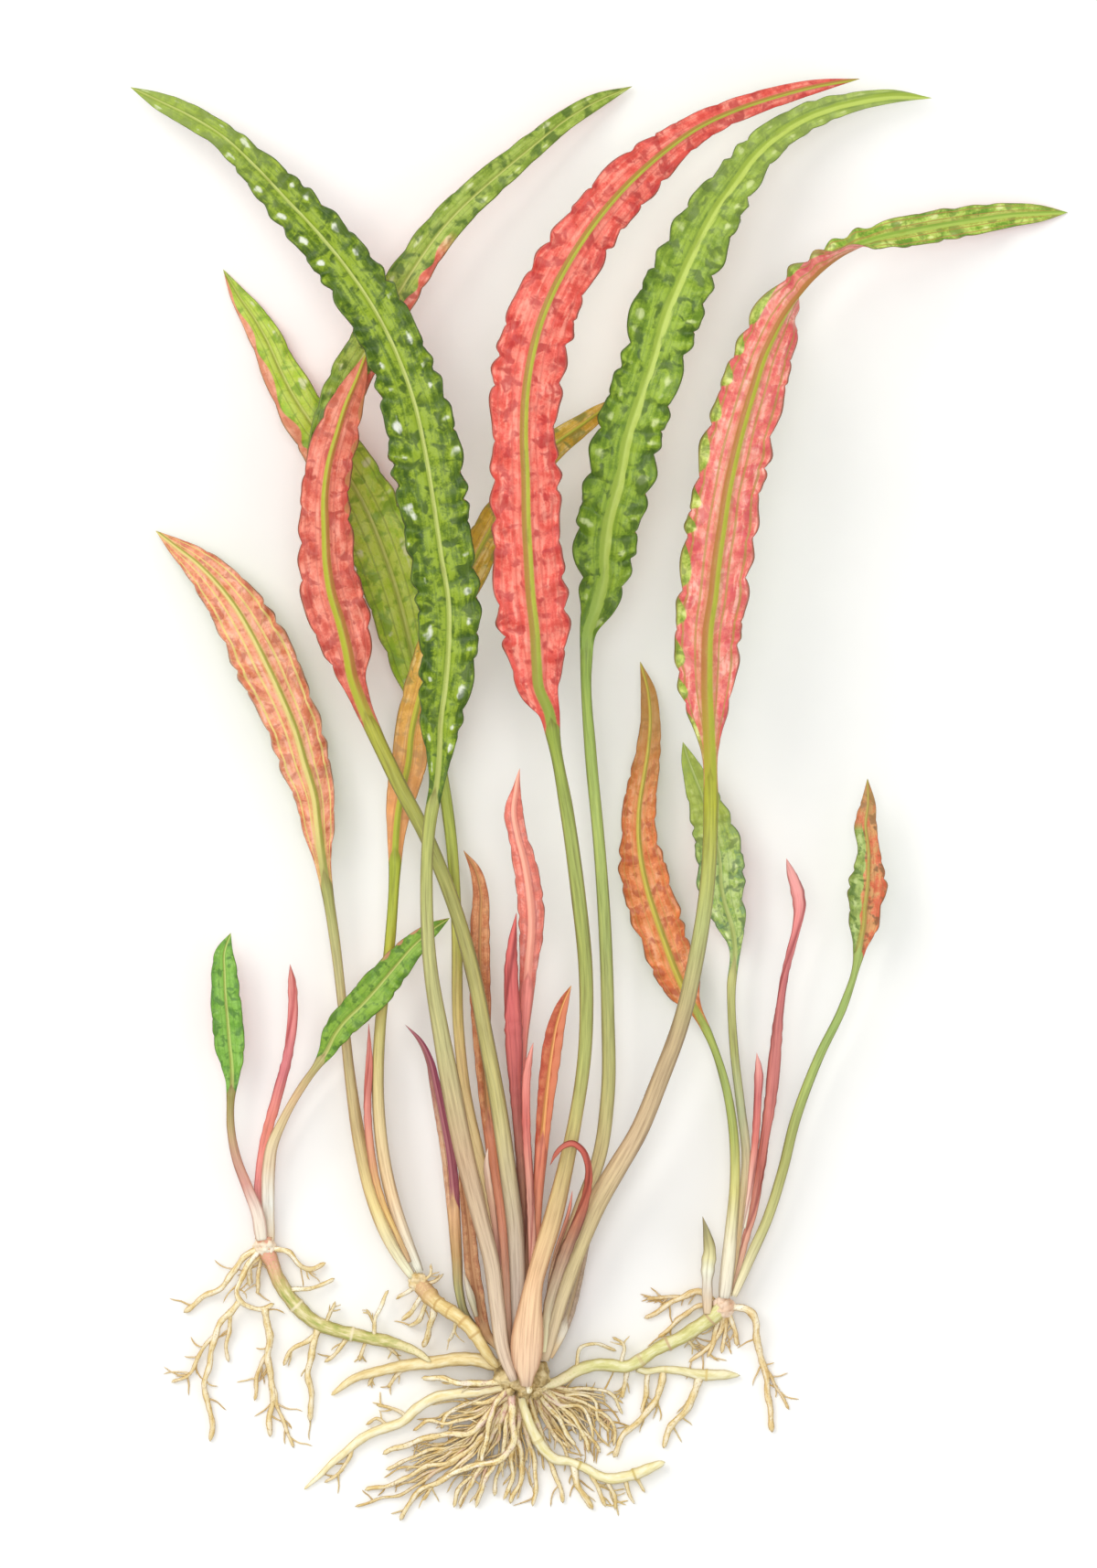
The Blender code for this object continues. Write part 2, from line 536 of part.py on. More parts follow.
def left_plantlet():
    """The young plant on the left runner."""
    leaf(
        "left_plantlet_green_leaf", "58B030",
        stalk=[
            (-116.6, 60.8, 11, 2.8), (-117.8, 69, 12.2, 2.8), (-122.3, 81, 12.8, 2.4),
            (-127.2, 94, 13, 2.1), (-129.8, 108, 13.2, 1.8), (-129.8, 121, 13.5, 1.9),
        ],
        blade=[
            (-129.2, 129, 14, 3), (-129.4, 136, 14.3, 5), (-130.3, 145, 14.7, 6.6),
            (-131.1, 155, 15, 6.8), (-132.1, 166, 15, 6.4), (-132.5, 176, 14.5, 5.7),
            (-132.6, 185, 13.5, 4),
        ],
        tip=(-129.8, 193.5, 12),
    )
    leaf(
        "left_plantlet_leaning_leaf", "5CA020",
        stalk=[
            (-112.8, 60, 7.3, 2.2), (-113.3, 69, 8, 2.6), (-113.5, 79, 10, 2.9),
            (-113.2, 89, 12.5, 2.9), (-111.8, 99, 14.8, 2.6), (-106.8, 111, 17.8, 2),
            (-98.3, 126, 21.8, 1.8), (-91.2, 136, 24.8, 2),
        ],
        blade=[
            (-87.3, 142, 26.5, 3.6), (-83.8, 149, 28, 5.6), (-79, 155.3, 29.3, 6.5),
            (-72.5, 161.5, 30.5, 7.2), (-66.5, 168, 31.3, 7.8), (-61, 174.5, 31.8, 7.2),
            (-55.5, 181, 32, 6.4), (-50, 187.3, 31.8, 5.4), (-45, 192, 31.3, 4.2),
            (-39.5, 196.3, 30.5, 2.7),
        ],
        tip=(-33.2, 200.3, 29.3),
    )
    spear(
        "left_plantlet_red_leaf", "D85864",
        [
            (-115.2, 61.3, 4, 1.4), (-116.5, 70, 4.5, 1.7), (-117.8, 80, 6, 1.9),
            (-117, 90, 7.5, 2), (-115, 101, 9.3, 2.2), (-109.5, 121, 13, 2.4),
            (-104.5, 141, 16.5, 2.3), (-102.4, 160, 19, 2.2), (-102.8, 172, 19.8, 1.8),
        ],
        tip=(-103.6, 180, 20),
    )
    fine = roots("left_plantlet_root", [
        (1.5, 1.1, [(-117, 55, 6), (-124, 50, 7), (-134, 38, 5), (-151, 26, 1.5)]),
        (1.3, 1.1, [(-117, 54, 7), (-124, 45, 9), (-127, 36, 9), (-123, 29.5, 7),
                    (-116.5, 27.5, 6), (-110.5, 29.5, 5)]),
        (1.5, 1.1, [(-125.5, 32, 7.6), (-133, 23, 5.5), (-138, 12, 4), (-140.5, 0, 3),
                    (-141, -10, 2.5), (-139, -20, 1.8), (-138.5, -31, 1.4)]),
        (1.0, 0.7, [(-136, 17, 4.6), (-143, 9, 3), (-148, 0, 2), (-156, -5.5, 1.2)]),
        (1.7, 1.2, [(-115, 28, 6), (-112, -10, 2.3), (-113, -29, 1.5)]),
        (1.0, 0.7, [(-112.4, -4, 2.6), (-109, -15, 1.8), (-103, -34, 1)]),
        (1.0, 0.8, [(-113.3, 9, 3.6), (-118, 0, 2), (-120, -13, 1.2)]),
        (1.4, 1.0, [(-114, 55, 7), (-106, 53, 8), (-100, 48, 6.5), (-94, 45.5, 4), (-88, 48, 2)]),
        (1.2, 1.0, [(-116, 53, 6), (-121, 46, 6), (-122, 37.5, 4)]),
        (1.1, 0.8, [(-116, 53, 5), (-118, 43, 4), (-119, 34, 3)]),
        (1.0, 0.8, [(-130, 26, 6.2), (-131.5, 14, 3), (-131, 4, 1.4)]),
    ])
    grown_together(
        "left_plantlet_rhizome", "E8D8A8",
        knob_mesh("left_plantlet_rhizome", (-115.2, 55.5, 7), (4.8, 4.2, 4.4)),
        fine,
    )


def right_plantlet():
    """The young plant on the right runner."""
    leaf(
        "right_plantlet_orange_leaf", "E8783C",
        stalk=[
            (87.6, 35.3, 13, 2.8), (88.7, 45, 13.2, 3.1), (90.3, 62, 13.8, 2.8), (92, 84, 14.5, 2.3),
            (91.5, 104, 15, 2.1), (87.5, 128, 15.7, 1.9), (80.5, 148.5, 16, 1.9),
        ],
        blade=[
            (74, 161, 16.5, 3.4), (69.5, 169, 17, 7.8), (65, 179, 17.5, 9.5), (61, 190, 18, 10),
            (57.5, 200, 18.5, 10.8), (54, 211, 19, 10.6), (51.2, 223, 19, 10.2), (49.7, 236, 18.5, 7.8),
            (50, 249, 18, 7.3), (52, 262, 17.5, 6.3), (54, 275, 17, 5.3), (54.8, 288, 16, 4.3),
            (53.8, 300, 14.5, 3.3),
        ],
        tip=(50.3, 313, 12.5),
        roll=180,
    )
    leaf(
        "right_plantlet_bumpy_leaf", "5FA860",
        stalk=[
            (89.8, 36, 5.8, 1.6), (92, 50, 5.3, 1.7), (94.2, 66, 6.3, 1.8), (96, 80, 7.3, 1.9),
            (97, 95, 8.5, 2), (94.5, 118, 10, 2), (91.7, 142, 11.5, 1.9), (90.5, 170, 13, 2),
        ],
        blade=[
            (92, 188, 14, 3), (90.5, 197, 14.5, 6.3), (88, 205, 15, 8.5), (86, 214, 15.5, 10),
            (85.5, 224, 16, 10.3), (84, 234, 16.5, 9.8), (81, 244, 17, 8.5), (77.5, 254, 18, 6.8),
            (74, 263, 19, 4.9), (71, 271, 20, 2.8),
        ],
        tip=(69, 277.5, 21),
    )
    spear(
        "right_plantlet_red_leaf", "D86070",
        [
            (92.4, 38.5, 9, 1.2), (94.8, 50, 9.5, 1.4), (97, 60, 9.9, 1.8), (99.7, 70, 10.5, 2),
            (102.3, 85, 11.6, 2.1), (105, 102, 13.4, 2.3), (108, 122, 15.5, 2.8),
            (109.7, 140, 17.8, 2.7), (111.8, 162, 21, 2), (113.5, 174, 23, 1.8),
            (116.3, 186, 25, 1.8), (118.8, 196, 27, 2), (120, 205, 28.5, 2.8),
            (118.8, 213, 29.5, 2.9), (116.5, 220, 30, 2),
        ],
        tip=(114.3, 226.5, 30),
    )
    spear(
        "right_plantlet_red_spear", "C85868",
        [
            (96.4, 66, 13.4, 0.9), (98.2, 78, 15, 1.2), (99.6, 90, 16.6, 1.5), (100.9, 102, 17.7, 1.7),
            (102, 120, 18.7, 1.9), (102.4, 134, 19.5, 1.7),
        ],
        tip=(101.5, 141, 20),
    )
    leaf(
        "right_plantlet_two_tone_leaf", "8A7A3C",
        stalk=[
            (92.6, 36, 12.3, 1.6), (95.6, 43, 12.8, 2), (99.4, 52, 13.3, 2.3), (106, 67, 14.4, 2.3),
            (112.7, 88, 16.3, 2.3), (118.4, 111, 18.4, 2.3), (128.8, 139, 21.2, 2.1),
            (139.5, 161.5, 23.2, 1.9), (145.6, 181, 24.6, 2),
        ],
        blade=[
            (147, 189, 25, 3.6), (148.5, 197, 25.5, 6.5), (149, 205, 26, 7), (150, 213, 26.3, 8.6),
            (150.6, 222, 26, 6.6), (150.5, 231, 25, 4.8), (149.3, 241, 23.5, 4.9),
            (150.4, 250, 22, 3.4),
        ],
        tip=(150.2, 261.5, 20),
        roll=180,
    )
    spear(
        "right_plantlet_shoot", "D0B890",
        [
            (80, 28.3, 10.6, 2.2), (80, 34, 11, 2.5), (80, 40, 11.5, 2.5), (80.3, 46.5, 12.3, 3.2),
            (81, 54, 13.5, 2.9), (79.8, 61, 15, 1.7),
        ],
        tip=(77.7, 69, 17),
    )
    fine = roots("right_plantlet_root", [
        (1.6, 1.1, [(84, 29.5, 5.5), (76, 35.5, 3.5), (68, 33, 3), (60, 27, 2), (52, 23.5, 1.4)]),
        (0.9, 0.7, [(68, 33, 3), (59, 33, 2), (53, 31, 1.2)]),
        (1.2, 1.0, [(84, 28.5, 4.5), (76, 28.5, 3), (63, 19.5, 2), (58.5, 14.5, 1.3)]),
        (1.3, 0.9, [(86, 26, 6.5), (82.5, 15, 4), (80.5, 6, 2)]),
        (1.2, 0.9, [(87, 26, 6), (84, 14, 3.5), (71.5, 4.3, 1.3)]),
        (1.3, 1.0, [(89, 27, 7), (92, 19, 4), (93, 11, 1.5)]),
        (1.8, 1.2, [(89, 29, 8), (97, 27.5, 9), (101.5, 21, 7.5), (102.5, 11, 4), (107, -8, 2),
                    (108, -27, 1.4)]),
        (0.8, 0.6, [(104.5, 2.5, 2.6), (110, -5, 1.5), (116, -17, 1)]),
        (1.1, 0.8, [(88.5, 26, 6), (87.5, 15, 3), (85.5, 8, 1.5)]),
    ])
    grown_together(
        "right_plantlet_rhizome", "D8B888",
        knob_mesh("right_plantlet_rhizome", (87.2, 29, 8.3), (4.6, 5, 4.4)),
        fine,
    )


def runners():
    """Creeping stems and the two thickest roots, each with the fine roots that grow from it."""
    left_line = [
        (-112.3, 49, 6.2, 3.1), (-109.5, 42, 5.8, 3.2), (-106, 35.5, 5.4, 3.3),
        (-101, 29, 5, 3.3), (-95, 23.5, 4.8, 3.2), (-88.5, 20, 4.6, 3.1), (-80, 17.3, 4.8, 3),
        (-71, 15.4, 5, 2.9), (-62, 13.8, 5.6, 2.8), (-55, 11.7, 7, 2.3), (-49.5, 9.5, 8.5, 1.5),
    ]
    grown_together(
        "left_runner", "C8D080",
        tube_mesh("left_runner", left_line, 1, 1, THICK_ROOT),
        roots("left_runner_root", [
            (1.1, 0.8, [(-104.5, 36, 6), (-91, 38, 4.5), (-84, 41, 3)]),
            (1.7, 1.1, [(-91, 21, 4), (-96, 2, 3.5), (-94.5, -7, 3), (-96, -22, 1.5)]),
            (1.2, 0.9, [(-90, 19.5, 4), (-104, 8, 3), (-107, 2.5, 2)]),
            (1.1, 0.8, [(-78, 16, 4), (-83, 8.5, 2.5), (-89, 4, 1.3)]),
            (1.0, 0.8, [(-70, 15, 4), (-72.5, 8, 2.2), (-74, 4.5, 1.2)]),
            (0.9, 0.7, [(-65, 14, 5), (-59, 9.5, 4), (-55.5, 7.5, 3)]),
            (1.0, 0.8, [(-67, 15, 5.5), (-66.5, 23, 8), (-63, 30, 8), (-60, 36, 6)]),
            (0.8, 0.6, [(-66.6, 21, 7.3), (-70, 28, 6)]),
            (0.9, 0.7, [(-88, 20.5, 5), (-86, 27, 6), (-84.5, 31.5, 5)]),
        ]),
    )
    thick_line = [
        (-15.6, 4.2, 12.5, 3), (-22, 5.5, 11, 3.1), (-30, 5.8, 9, 3), (-38, 4.8, 7.5, 2.9),
        (-46, 3.6, 6, 2.8), (-54, 2.6, 4.8, 2.6), (-62, 1, 4, 2.4), (-70, -1, 3.3, 2.1),
        (-78, -4.5, 2.6, 1.7), (-86, -10.5, 1.5, 0.8),
    ]
    grown_together(
        "thick_left_root", "E8D090",
        tube_mesh("thick_left_root", thick_line, 1, 1, THICK_ROOT),
        roots("thick_left_root_branch", [
            (1.1, 0.8, [(-53, 2, 4), (-58, -3, 2.5), (-61, -7.5, 1.5)]),
            (0.9, 0.7, [(-66, 0, 3.4), (-70, -6.5, 1.5)]),
        ]),
    )
    pale_line = [
        (-14.8, -7.2, 11, 2.2), (-22, -8.5, 9.5, 2.4), (-31, -9.3, 8, 2.4), (-40, -11.5, 6.5, 2.4),
        (-48, -16, 5, 2.3), (-54, -21.5, 4, 2.2), (-62, -25, 3.4, 2.2), (-70, -28, 3, 2.1),
        (-77, -33, 2.6, 1.9), (-83, -38.5, 2.3, 1.6), (-90, -45, 1.8, 1.2), (-98, -52, 1, 0.5),
    ]
    grown_together(
        "long_pale_root", "F0E0B0",
        tube_mesh("long_pale_root", pale_line, 1, 1, THICK_ROOT),
        roots("long_pale_root_branch", [
            (0.9, 0.6, [(-60, -24.5, 3.6), (-66, -20.5, 2.5), (-71, -23, 1.4)]),
            (1.0, 0.6, [(-76, -32, 2.6), (-81, -44, 1.6), (-89, -49, 1)]),
            (0.9, 0.6, [(-52, -20, 4.4), (-58, -16.5, 3), (-66, -14.5, 1.4)]),
        ]),
    )
    right_line = [
        (11.6, -4.8, 12.7, 2.2), (17, -2.2, 11, 2.6), (23, 1, 9.5, 2.7), (30, 3, 8.2, 2.8),
        (38, 3, 7.3, 2.8), (45, 2.7, 6.8, 2.8), (50, 5, 6.6, 2.8), (56, 9, 6.4, 2.8),
        (62, 12.3, 6.2, 3), (68.5, 15.3, 6.2, 3.1), (74.5, 19, 6.6, 3.2), (80.5, 23, 7.3, 3.3),
    ]
    grown_together(
        "right_runner", "C8D080",
        tube_mesh("right_runner", right_line, 1, 1, THICK_ROOT),
        roots("right_runner_root", [
            (1.2, 0.9, [(45, 2, 5.5), (43.5, -6, 3), (42, -12, 1.5)]),
            (0.9, 0.7, [(22, 1, 10), (25, 11, 10), (31, 13.3, 8), (40, 9, 2.5)]),
            (0.9, 0.7, [(42, 3.5, 7.6), (42.5, 12, 7), (38, 15.5, 5)]),
            (0.9, 0.7, [(70, 16, 5.5), (73, 12, 3.5), (75, 9.5, 1.5)]),
        ]),
    )
    tip_line = [
        (52.2, 0.4, 4.2, 1.6), (60, 1, 3.6, 1.5), (68, 0.2, 3, 1.9), (75, -0.9, 2.8, 2.3),
        (82, -1.4, 2.8, 2.5), (88, -1.4, 2.7, 2.1), (94.5, -2, 2.2, 0.4),
    ]
    grown_together(
        "right_runner_tip", "D8DC98",
        tube_mesh("right_runner_tip", tip_line, 1, 1, THICK_ROOT),
        roots("right_runner_tip_root", [
            (1.3, 0.9, [(54, 0.4, 3.8), (52.5, -9, 2), (52, -19, 1.3)]),
            (1.6, 1.2, [(60.5, 0.6, 3), (59, -10, 2.2), (53, -18, 2), (45, -26, 2),
                        (38.5, -38, 1.5)]),
            (1.8, 1.3, [(77, -1.5, 2.8), (73, -12, 2.5), (62, -29, 1.8), (60.5, -34, 1.4)]),
        ]),
    )
    lower_line = [
        (-1.5, -13.3, 13.5, 2), (0.5, -20, 12, 2.2), (4, -27, 10, 2.4), (8, -34, 8, 2.5),
        (13, -38.5, 6.5, 2.3), (20, -39.7, 5.5, 1.9), (26, -42, 4.8, 2), (32, -45.8, 4.2, 2.2),
        (38, -47.2, 4, 2.4), (45, -46, 4, 2.5), (53, -43, 4, 2.4), (61.5, -39.8, 4, 1.5),
    ]
    grown_together(
        "lower_runner", "E4E0A8",
        tube_mesh("lower_runner", lower_line, 1, 1, THICK_ROOT),
        roots("lower_runner_root", [
            (1.6, 1.2, [(20, -39.7, 5), (23.5, -50, 3.5), (29.5, -61, 1.5)]),
            (1.1, 0.8, [(28, -43.5, 4.5), (32.5, -53, 2.5), (34.5, -60, 1.3)]),
            (1.0, 0.8, [(35, -46.5, 4), (38.5, -55, 2.2), (40, -61, 1.3)]),
            (1.0, 0.7, [(43, -46, 3.8), (48, -58.5, 1.3)]),
            (0.9, 0.7, [(48, -45, 3.8), (52.5, -53.5, 1.4)]),
        ]),
    )


def main_rhizome():
    """The stout main rhizome with the fan of roots that spreads below it."""
    fine = roots("main_root", [
        (1.6, 1.2, [(-8, -4, 15), (-20, -4.6, 14.2), (-29, -4, 12), (-46, -2.5, 3.5)]),
        (1.3, 1.0, [(-6, -7, 10), (-20, -13.5, 8), (-29, -15.5, 5.5), (-35.5, -19.5, 4),
                    (-38, -25, 2.5)]),
        (1.7, 1.2, [(-5, -7, 11), (-23, -25.5, 7), (-33, -28, 5), (-44, -29, 4), (-63, -37, 2)]),
        (1.5, 0.9, [(-5, -7, 10), (-14, -22, 7), (-22, -32, 5), (-32, -38.5, 4), (-44, -42.5, 3),
                    (-57, -48.5, 2.2), (-71, -53, 1.5)]),
        (1.8, 1.0, [(-6, -7, 16), (-6.5, -18, 17), (-4.5, -27, 15), (-9, -36, 11),
                    (-18, -40.5, 9), (-30, -43.5, 6.5), (-49, -55, 2.5), (-56, -65.5, 1.3)]),
        (1.4, 1.0, [(-7, -6, 13), (-14, -16, 12), (-17, -25, 10), (-18.5, -35, 8),
                    (-18, -47, 4.5)]),
        (1.3, 0.9, [(-4, -7, 9), (-11, -20, 8), (-15, -30, 6), (-22, -42, 5), (-29, -52, 3),
                    (-32, -60, 1.5)]),
        (1.3, 0.9, [(-4, -7, 10), (-8, -22, 9), (-14, -55, 1.8)]),
        (1.3, 0.9, [(-3, -7, 9), (-5.5, -22, 7.5), (-6, -47, 4), (-10.5, -56.5, 1.8)]),
        (1.4, 1.0, [(-2, -7, 8), (-3.5, -24, 6), (-2, -37, 4.5), (-3, -49, 3), (-6.5, -58.5, 1.5)]),
        (1.3, 0.9, [(0, -7, 7), (0, -24, 5), (5, -47, 3.2), (2.7, -59.5, 1.5)]),
        (1.3, 1.0, [(1, -6, 7), (4, -20, 4.6), (17, -58, 1.5)]),
        (1.1, 0.8, [(-19, -40.5, 8.5), (-24, -48, 5), (-29, -59.5, 1.5)]),
        (1.1, 0.8, [(-13, -38.5, 9.5), (-18, -49, 5.5), (-22.5, -60, 1.5)]),
        (1.4, 1.0, [(3, -6, 10), (18, -26, 5.5), (22, -33, 3)]),
        (1.3, 0.9, [(4, -5, 10), (14, -13, 7), (21, -20, 6), (28, -36, 2.5)]),
        (1.0, 0.7, [(4, -6, 9), (12, -10.8, 6.5), (23, -10, 6), (31, -14, 5), (32.5, -21, 3.5),
                    (37, -27, 1.5)]),
        (1.2, 0.9, [(4, -6, 8), (13, -12.5, 5), (20, -16.5, 4), (24, -24, 3), (24, -31, 1.8)]),
        (1.2, 0.9, [(3, -6, 7), (9, -21, 4.6), (14, -30, 3.6), (19.5, -34.5, 2)]),
        (1.1, 0.8, [(4, -6, 9), (15, -14.5, 7), (24, -16, 5.5), (29, -22, 4), (29.5, -30, 2.2)]),
        (1.2, 0.8, [(-5, -7, 9), (-18, -24, 5.5), (-28, -31, 4), (-52, -38.5, 2), (-62, -43, 1.3)]),
        (1.1, 0.8, [(-13, -23, 6.8), (-24, -36, 5), (-36, -46, 3.5), (-46, -57, 1.8)]),
        (1.1, 0.8, [(-6, -7, 9), (-22, -19, 6), (-34, -23, 4), (-44, -21.5, 2.6), (-50, -26, 1.6)]),
        (0.9, 0.6, [(-24, -33.5, 4.8), (-40, -45, 3), (-56, -54, 2), (-75.5, -59.5, 1.1)]),
    ])
    knobs = [
        knob_mesh("main_rhizome_right", (3.5, -1, 14.5), (7.6, 7.6, 8)),
        knob_mesh("main_rhizome_front", (-1, -5.5, 15), (6.5, 5.5, 8)),
        tube_mesh("main_rhizome_stub", [(2, -6.5, 15), (7, -6.9, 14.2), (10, -5.6, 13.3)], 2.5, 2.2,
                  THICK_ROOT),
    ]
    grown_together(
        "main_rhizome", "8A7440",
        knob_mesh("main_rhizome", (-5.5, -1, 14.5), (8.8, 7.6, 8.2)),
        knobs + fine,
    )


clear_scene()
PARTS = new_collection("Cryptocoryne")
main_plant_green_leaves()
main_plant_red_leaves()
main_plant_young_leaves()
offset_plant()
left_plantlet()
right_plantlet()
runners()
main_rhizome()
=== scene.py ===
"""A bare-rooted cryptocoryne that lies on a table and is seen from straight above.

Every leaf, runner and root mass is one piece that stands for one node of the frame. Rows are in
millimetres and are counted from the point under the main rhizome.
"""
import math
import random
from types import SimpleNamespace

import bmesh
import bpy
import numpy as np
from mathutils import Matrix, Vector, noise


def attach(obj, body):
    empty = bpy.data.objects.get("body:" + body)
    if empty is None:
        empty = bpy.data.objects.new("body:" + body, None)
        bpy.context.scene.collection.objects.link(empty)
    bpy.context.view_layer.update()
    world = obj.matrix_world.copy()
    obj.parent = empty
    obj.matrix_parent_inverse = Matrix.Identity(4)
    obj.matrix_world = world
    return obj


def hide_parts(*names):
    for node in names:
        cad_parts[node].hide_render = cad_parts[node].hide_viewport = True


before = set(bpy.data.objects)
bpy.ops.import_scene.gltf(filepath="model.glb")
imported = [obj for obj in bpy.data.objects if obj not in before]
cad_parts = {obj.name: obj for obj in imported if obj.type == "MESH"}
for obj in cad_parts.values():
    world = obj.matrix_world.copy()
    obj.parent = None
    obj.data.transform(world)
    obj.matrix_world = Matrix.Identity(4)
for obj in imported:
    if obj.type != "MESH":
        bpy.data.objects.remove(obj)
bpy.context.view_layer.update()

# The front green leaf, the longest one that shows its upper side. A cryptocoryne leaf is one
# tough sheet on a fleshy stalk, puffed up between its veins like hammered tin, with a crimped
# margin. It is made as a grid that is wrapped round its own line, closed and welded.

MM = 0.001
CROWN_MM = np.array((-32.5, -251.5, -0.1))
FLOOR_CLEARANCE_MM = 0.15
WELD = 0.000002


def row_marks(rows):
    """Length along the line at which each row stands."""
    strides = np.linalg.norm(np.diff(np.array(rows, dtype=float)[:, :3], axis=0), axis=1)
    return np.concatenate(((0.0,), np.cumsum(strides)))


def read_rows(rows, places):
    """The rows' values at the given lengths along a smooth line through them."""
    rows = np.array(rows, dtype=float)
    marks = row_marks(rows)
    slopes = np.gradient(rows, marks, axis=0)
    i = np.clip(np.searchsorted(marks, places, side="right") - 1, 0, len(marks) - 2)
    step = (marks[i + 1] - marks[i])[:, None]
    t = (places - marks[i])[:, None] / step
    start = rows[i] * (1 + 2 * t) + slopes[i] * step * t
    end = rows[i + 1] * (3 - 2 * t) - slopes[i + 1] * step * (1 - t)
    return start * (1 - t) ** 2 + end * t ** 2


def wrapped_grid(around, rings):
    """A flat grid as a mesh, with the ring and the place round it that each vertex stands for."""
    skin = bmesh.new()
    bmesh.ops.create_grid(skin, x_segments=around, y_segments=rings - 1, size=1)
    mesh = bpy.data.meshes.new("grown_skin")
    skin.to_mesh(mesh)
    skin.free()
    flat = np.empty(len(mesh.vertices) * 3)
    mesh.vertices.foreach_get("co", flat)
    flat = flat.reshape(-1, 3)
    place_of = np.rint((flat[:, 0] + 1) / 2 * around).astype(int)
    ring_of = np.rint((flat[:, 1] + 1) / 2 * (rings - 1)).astype(int)
    return mesh, ring_of, place_of


def closed_skin(points, values):
    """Mesh of a closed skin: rings of points in mm from a base to a tip, with stored values.

    The first and the last point of a ring are the same, and are welded to a seam.
    """
    mesh, ring_of, place_of = wrapped_grid(points.shape[1] - 1, len(points))
    mesh.vertices.foreach_set("co", ((points[ring_of, place_of] + CROWN_MM) * MM).ravel())
    for title, value in values.items():
        kind, field = ("FLOAT_VECTOR", "vector") if value.ndim == 3 else ("FLOAT", "value")
        store = mesh.attributes.new(title, kind, "POINT")
        store.data.foreach_set(field, value[ring_of, place_of].ravel())
    skin = bmesh.new()
    skin.from_mesh(mesh)
    bmesh.ops.remove_doubles(skin, verts=skin.verts, dist=WELD)
    stray_edges = [edge for edge in skin.edges if edge.is_wire]
    bmesh.ops.delete(skin, geom=stray_edges, context="EDGES")
    open_edges = [edge for edge in skin.edges if edge.is_boundary]
    bmesh.ops.holes_fill(skin, edges=open_edges, sides=0)
    bmesh.ops.recalc_face_normals(skin, faces=skin.faces)
    skin.to_mesh(mesh)
    skin.free()
    mesh.shade_smooth()
    return mesh


# How much of its own square of the leaf a blister may fill, and where its middle may lie in it
BLISTER_REACH = 0.75
BLISTER_PLACE = (0.15, 0.7)


def blisters(x, y, cell, seed):
    """Puffed cells of a leaf, about as wide as cell in mm: 0 in the veins between, 1 on top."""
    first, room = BLISTER_PLACE
    nearest = np.full(x.shape, np.inf)
    for i in (-1, 0, 1):
        for j in (-1, 0, 1):
            column = np.floor(x / cell) + i
            row = np.floor(y / cell) + j
            jitter = np.sin(column * 12.99 + row * 78.23 + seed) * 43758.5
            other = np.sin(column * 39.35 + row * 11.14 + seed) * 24634.6
            across = x / cell - column - first - room * (jitter % 1)
            up = y / cell - row - first - room * (other % 1)
            nearest = np.minimum(nearest, np.hypot(across, up))
    return np.clip(1 - (nearest / BLISTER_REACH) ** 2, 0, 1)


# Crimps slant towards the tip like the side veins, and lobes are rounder than a plain wave
CRIMP_LEAN = 0.45
LOBE_ROUNDNESS = 0.6


def margin_waves(along, x_mm, hand, wave, seed):
    """Crimps of a leaf's margin from -1 to 1, and its lobes. No two of them are equally long."""
    lean = along - CRIMP_LEAN * np.abs(x_mm)
    phase = 2 * math.pi * lean / wave + 1.1 * np.sin(along * 1.7 / wave + seed * 1.7 + hand)
    phase = phase + 0.7 * np.sin(along * 2.75 / wave + seed * 2.9 + 2.1 * hand) + 1.4 * hand
    lobes = 1.7 * np.abs(np.sin(phase / 2 + 0.6)) ** LOBE_ROUNDNESS
    return np.sin(phase), lobes + 0.3 * np.sin(1.31 * phase + seed) - 1.2


# A leaf starts a little inside the rhizome, somewhat narrower, and ends in a fine tip
FOOT_MM = 2.5
FOOT_SHARE = 0.85
TIP_MM = 0.05


def leaf_rows(stalk, blade, tip, roll, twist):
    """Rows of x, y, z, half width and roll, from the foot inside the rhizome to the leaf's tip."""
    base = np.array(stalk[0][:3])
    back = base - np.array(stalk[1][:3])
    foot = base + back / np.linalg.norm(back) * FOOT_MM
    first = (*foot, FOOT_SHARE * stalk[0][3])
    rows = [(*row, roll) for row in (first, *stalk, *blade, (*tip, TIP_MM))]
    angles = (*twist, twist[-1]) if twist else ()
    for i, angle in enumerate(angles, start=len(rows) - len(angles)):
        rows[i] = (*rows[i][:4], angle)
    return rows


def section_ways(centre, turn):
    """Unit vectors across a leaf and out of its upper side, at each place of its line."""
    heading = np.gradient(centre, axis=0)
    heading /= np.linalg.norm(heading, axis=1)[:, None]
    level = np.cross(heading, (0, 0, 1))
    level /= np.linalg.norm(level, axis=1)[:, None]
    upward = np.cross(level, heading)
    cos = np.cos(np.radians(turn))[:, None]
    sin = np.sin(np.radians(turn))[:, None]
    return level * cos + upward * sin, upward * cos - level * sin


# Crimps and blisters die away over these shares of the blade at its start and its tip, and where
# half the blade is narrower than CRIMP_WIDTH_MM
CRIMP_START = 0.1
CRIMP_END = 0.15
CRIMP_WIDTH_MM = 9
# How steeply the two halves of a blade fold up, also where it turns over
FOLD = 0.2
TWIST_FOLD = 0.75
# Depth of a stalk below its widest line, as a share of half its width, and above it
STALK_DEPTH = 0.85
STALK_DEPTH_LIMIT_MM = 4.6
STALK_TOP = 0.75
# Half the thickness of the sheet, the groove along the midrib's upper side, and how far the
# midrib stands out below and how soon it falls off to its sides
SHEET_MM = 0.35
GROOVE_MM = 0.35
RIB_DEPTH = 0.6
RIB_FALL = 1.4
# Fine puckers on the blisters: their size and height as shares of a blister's
PUCKER_SIZE = 0.45
PUCKER_SHARE = 0.3
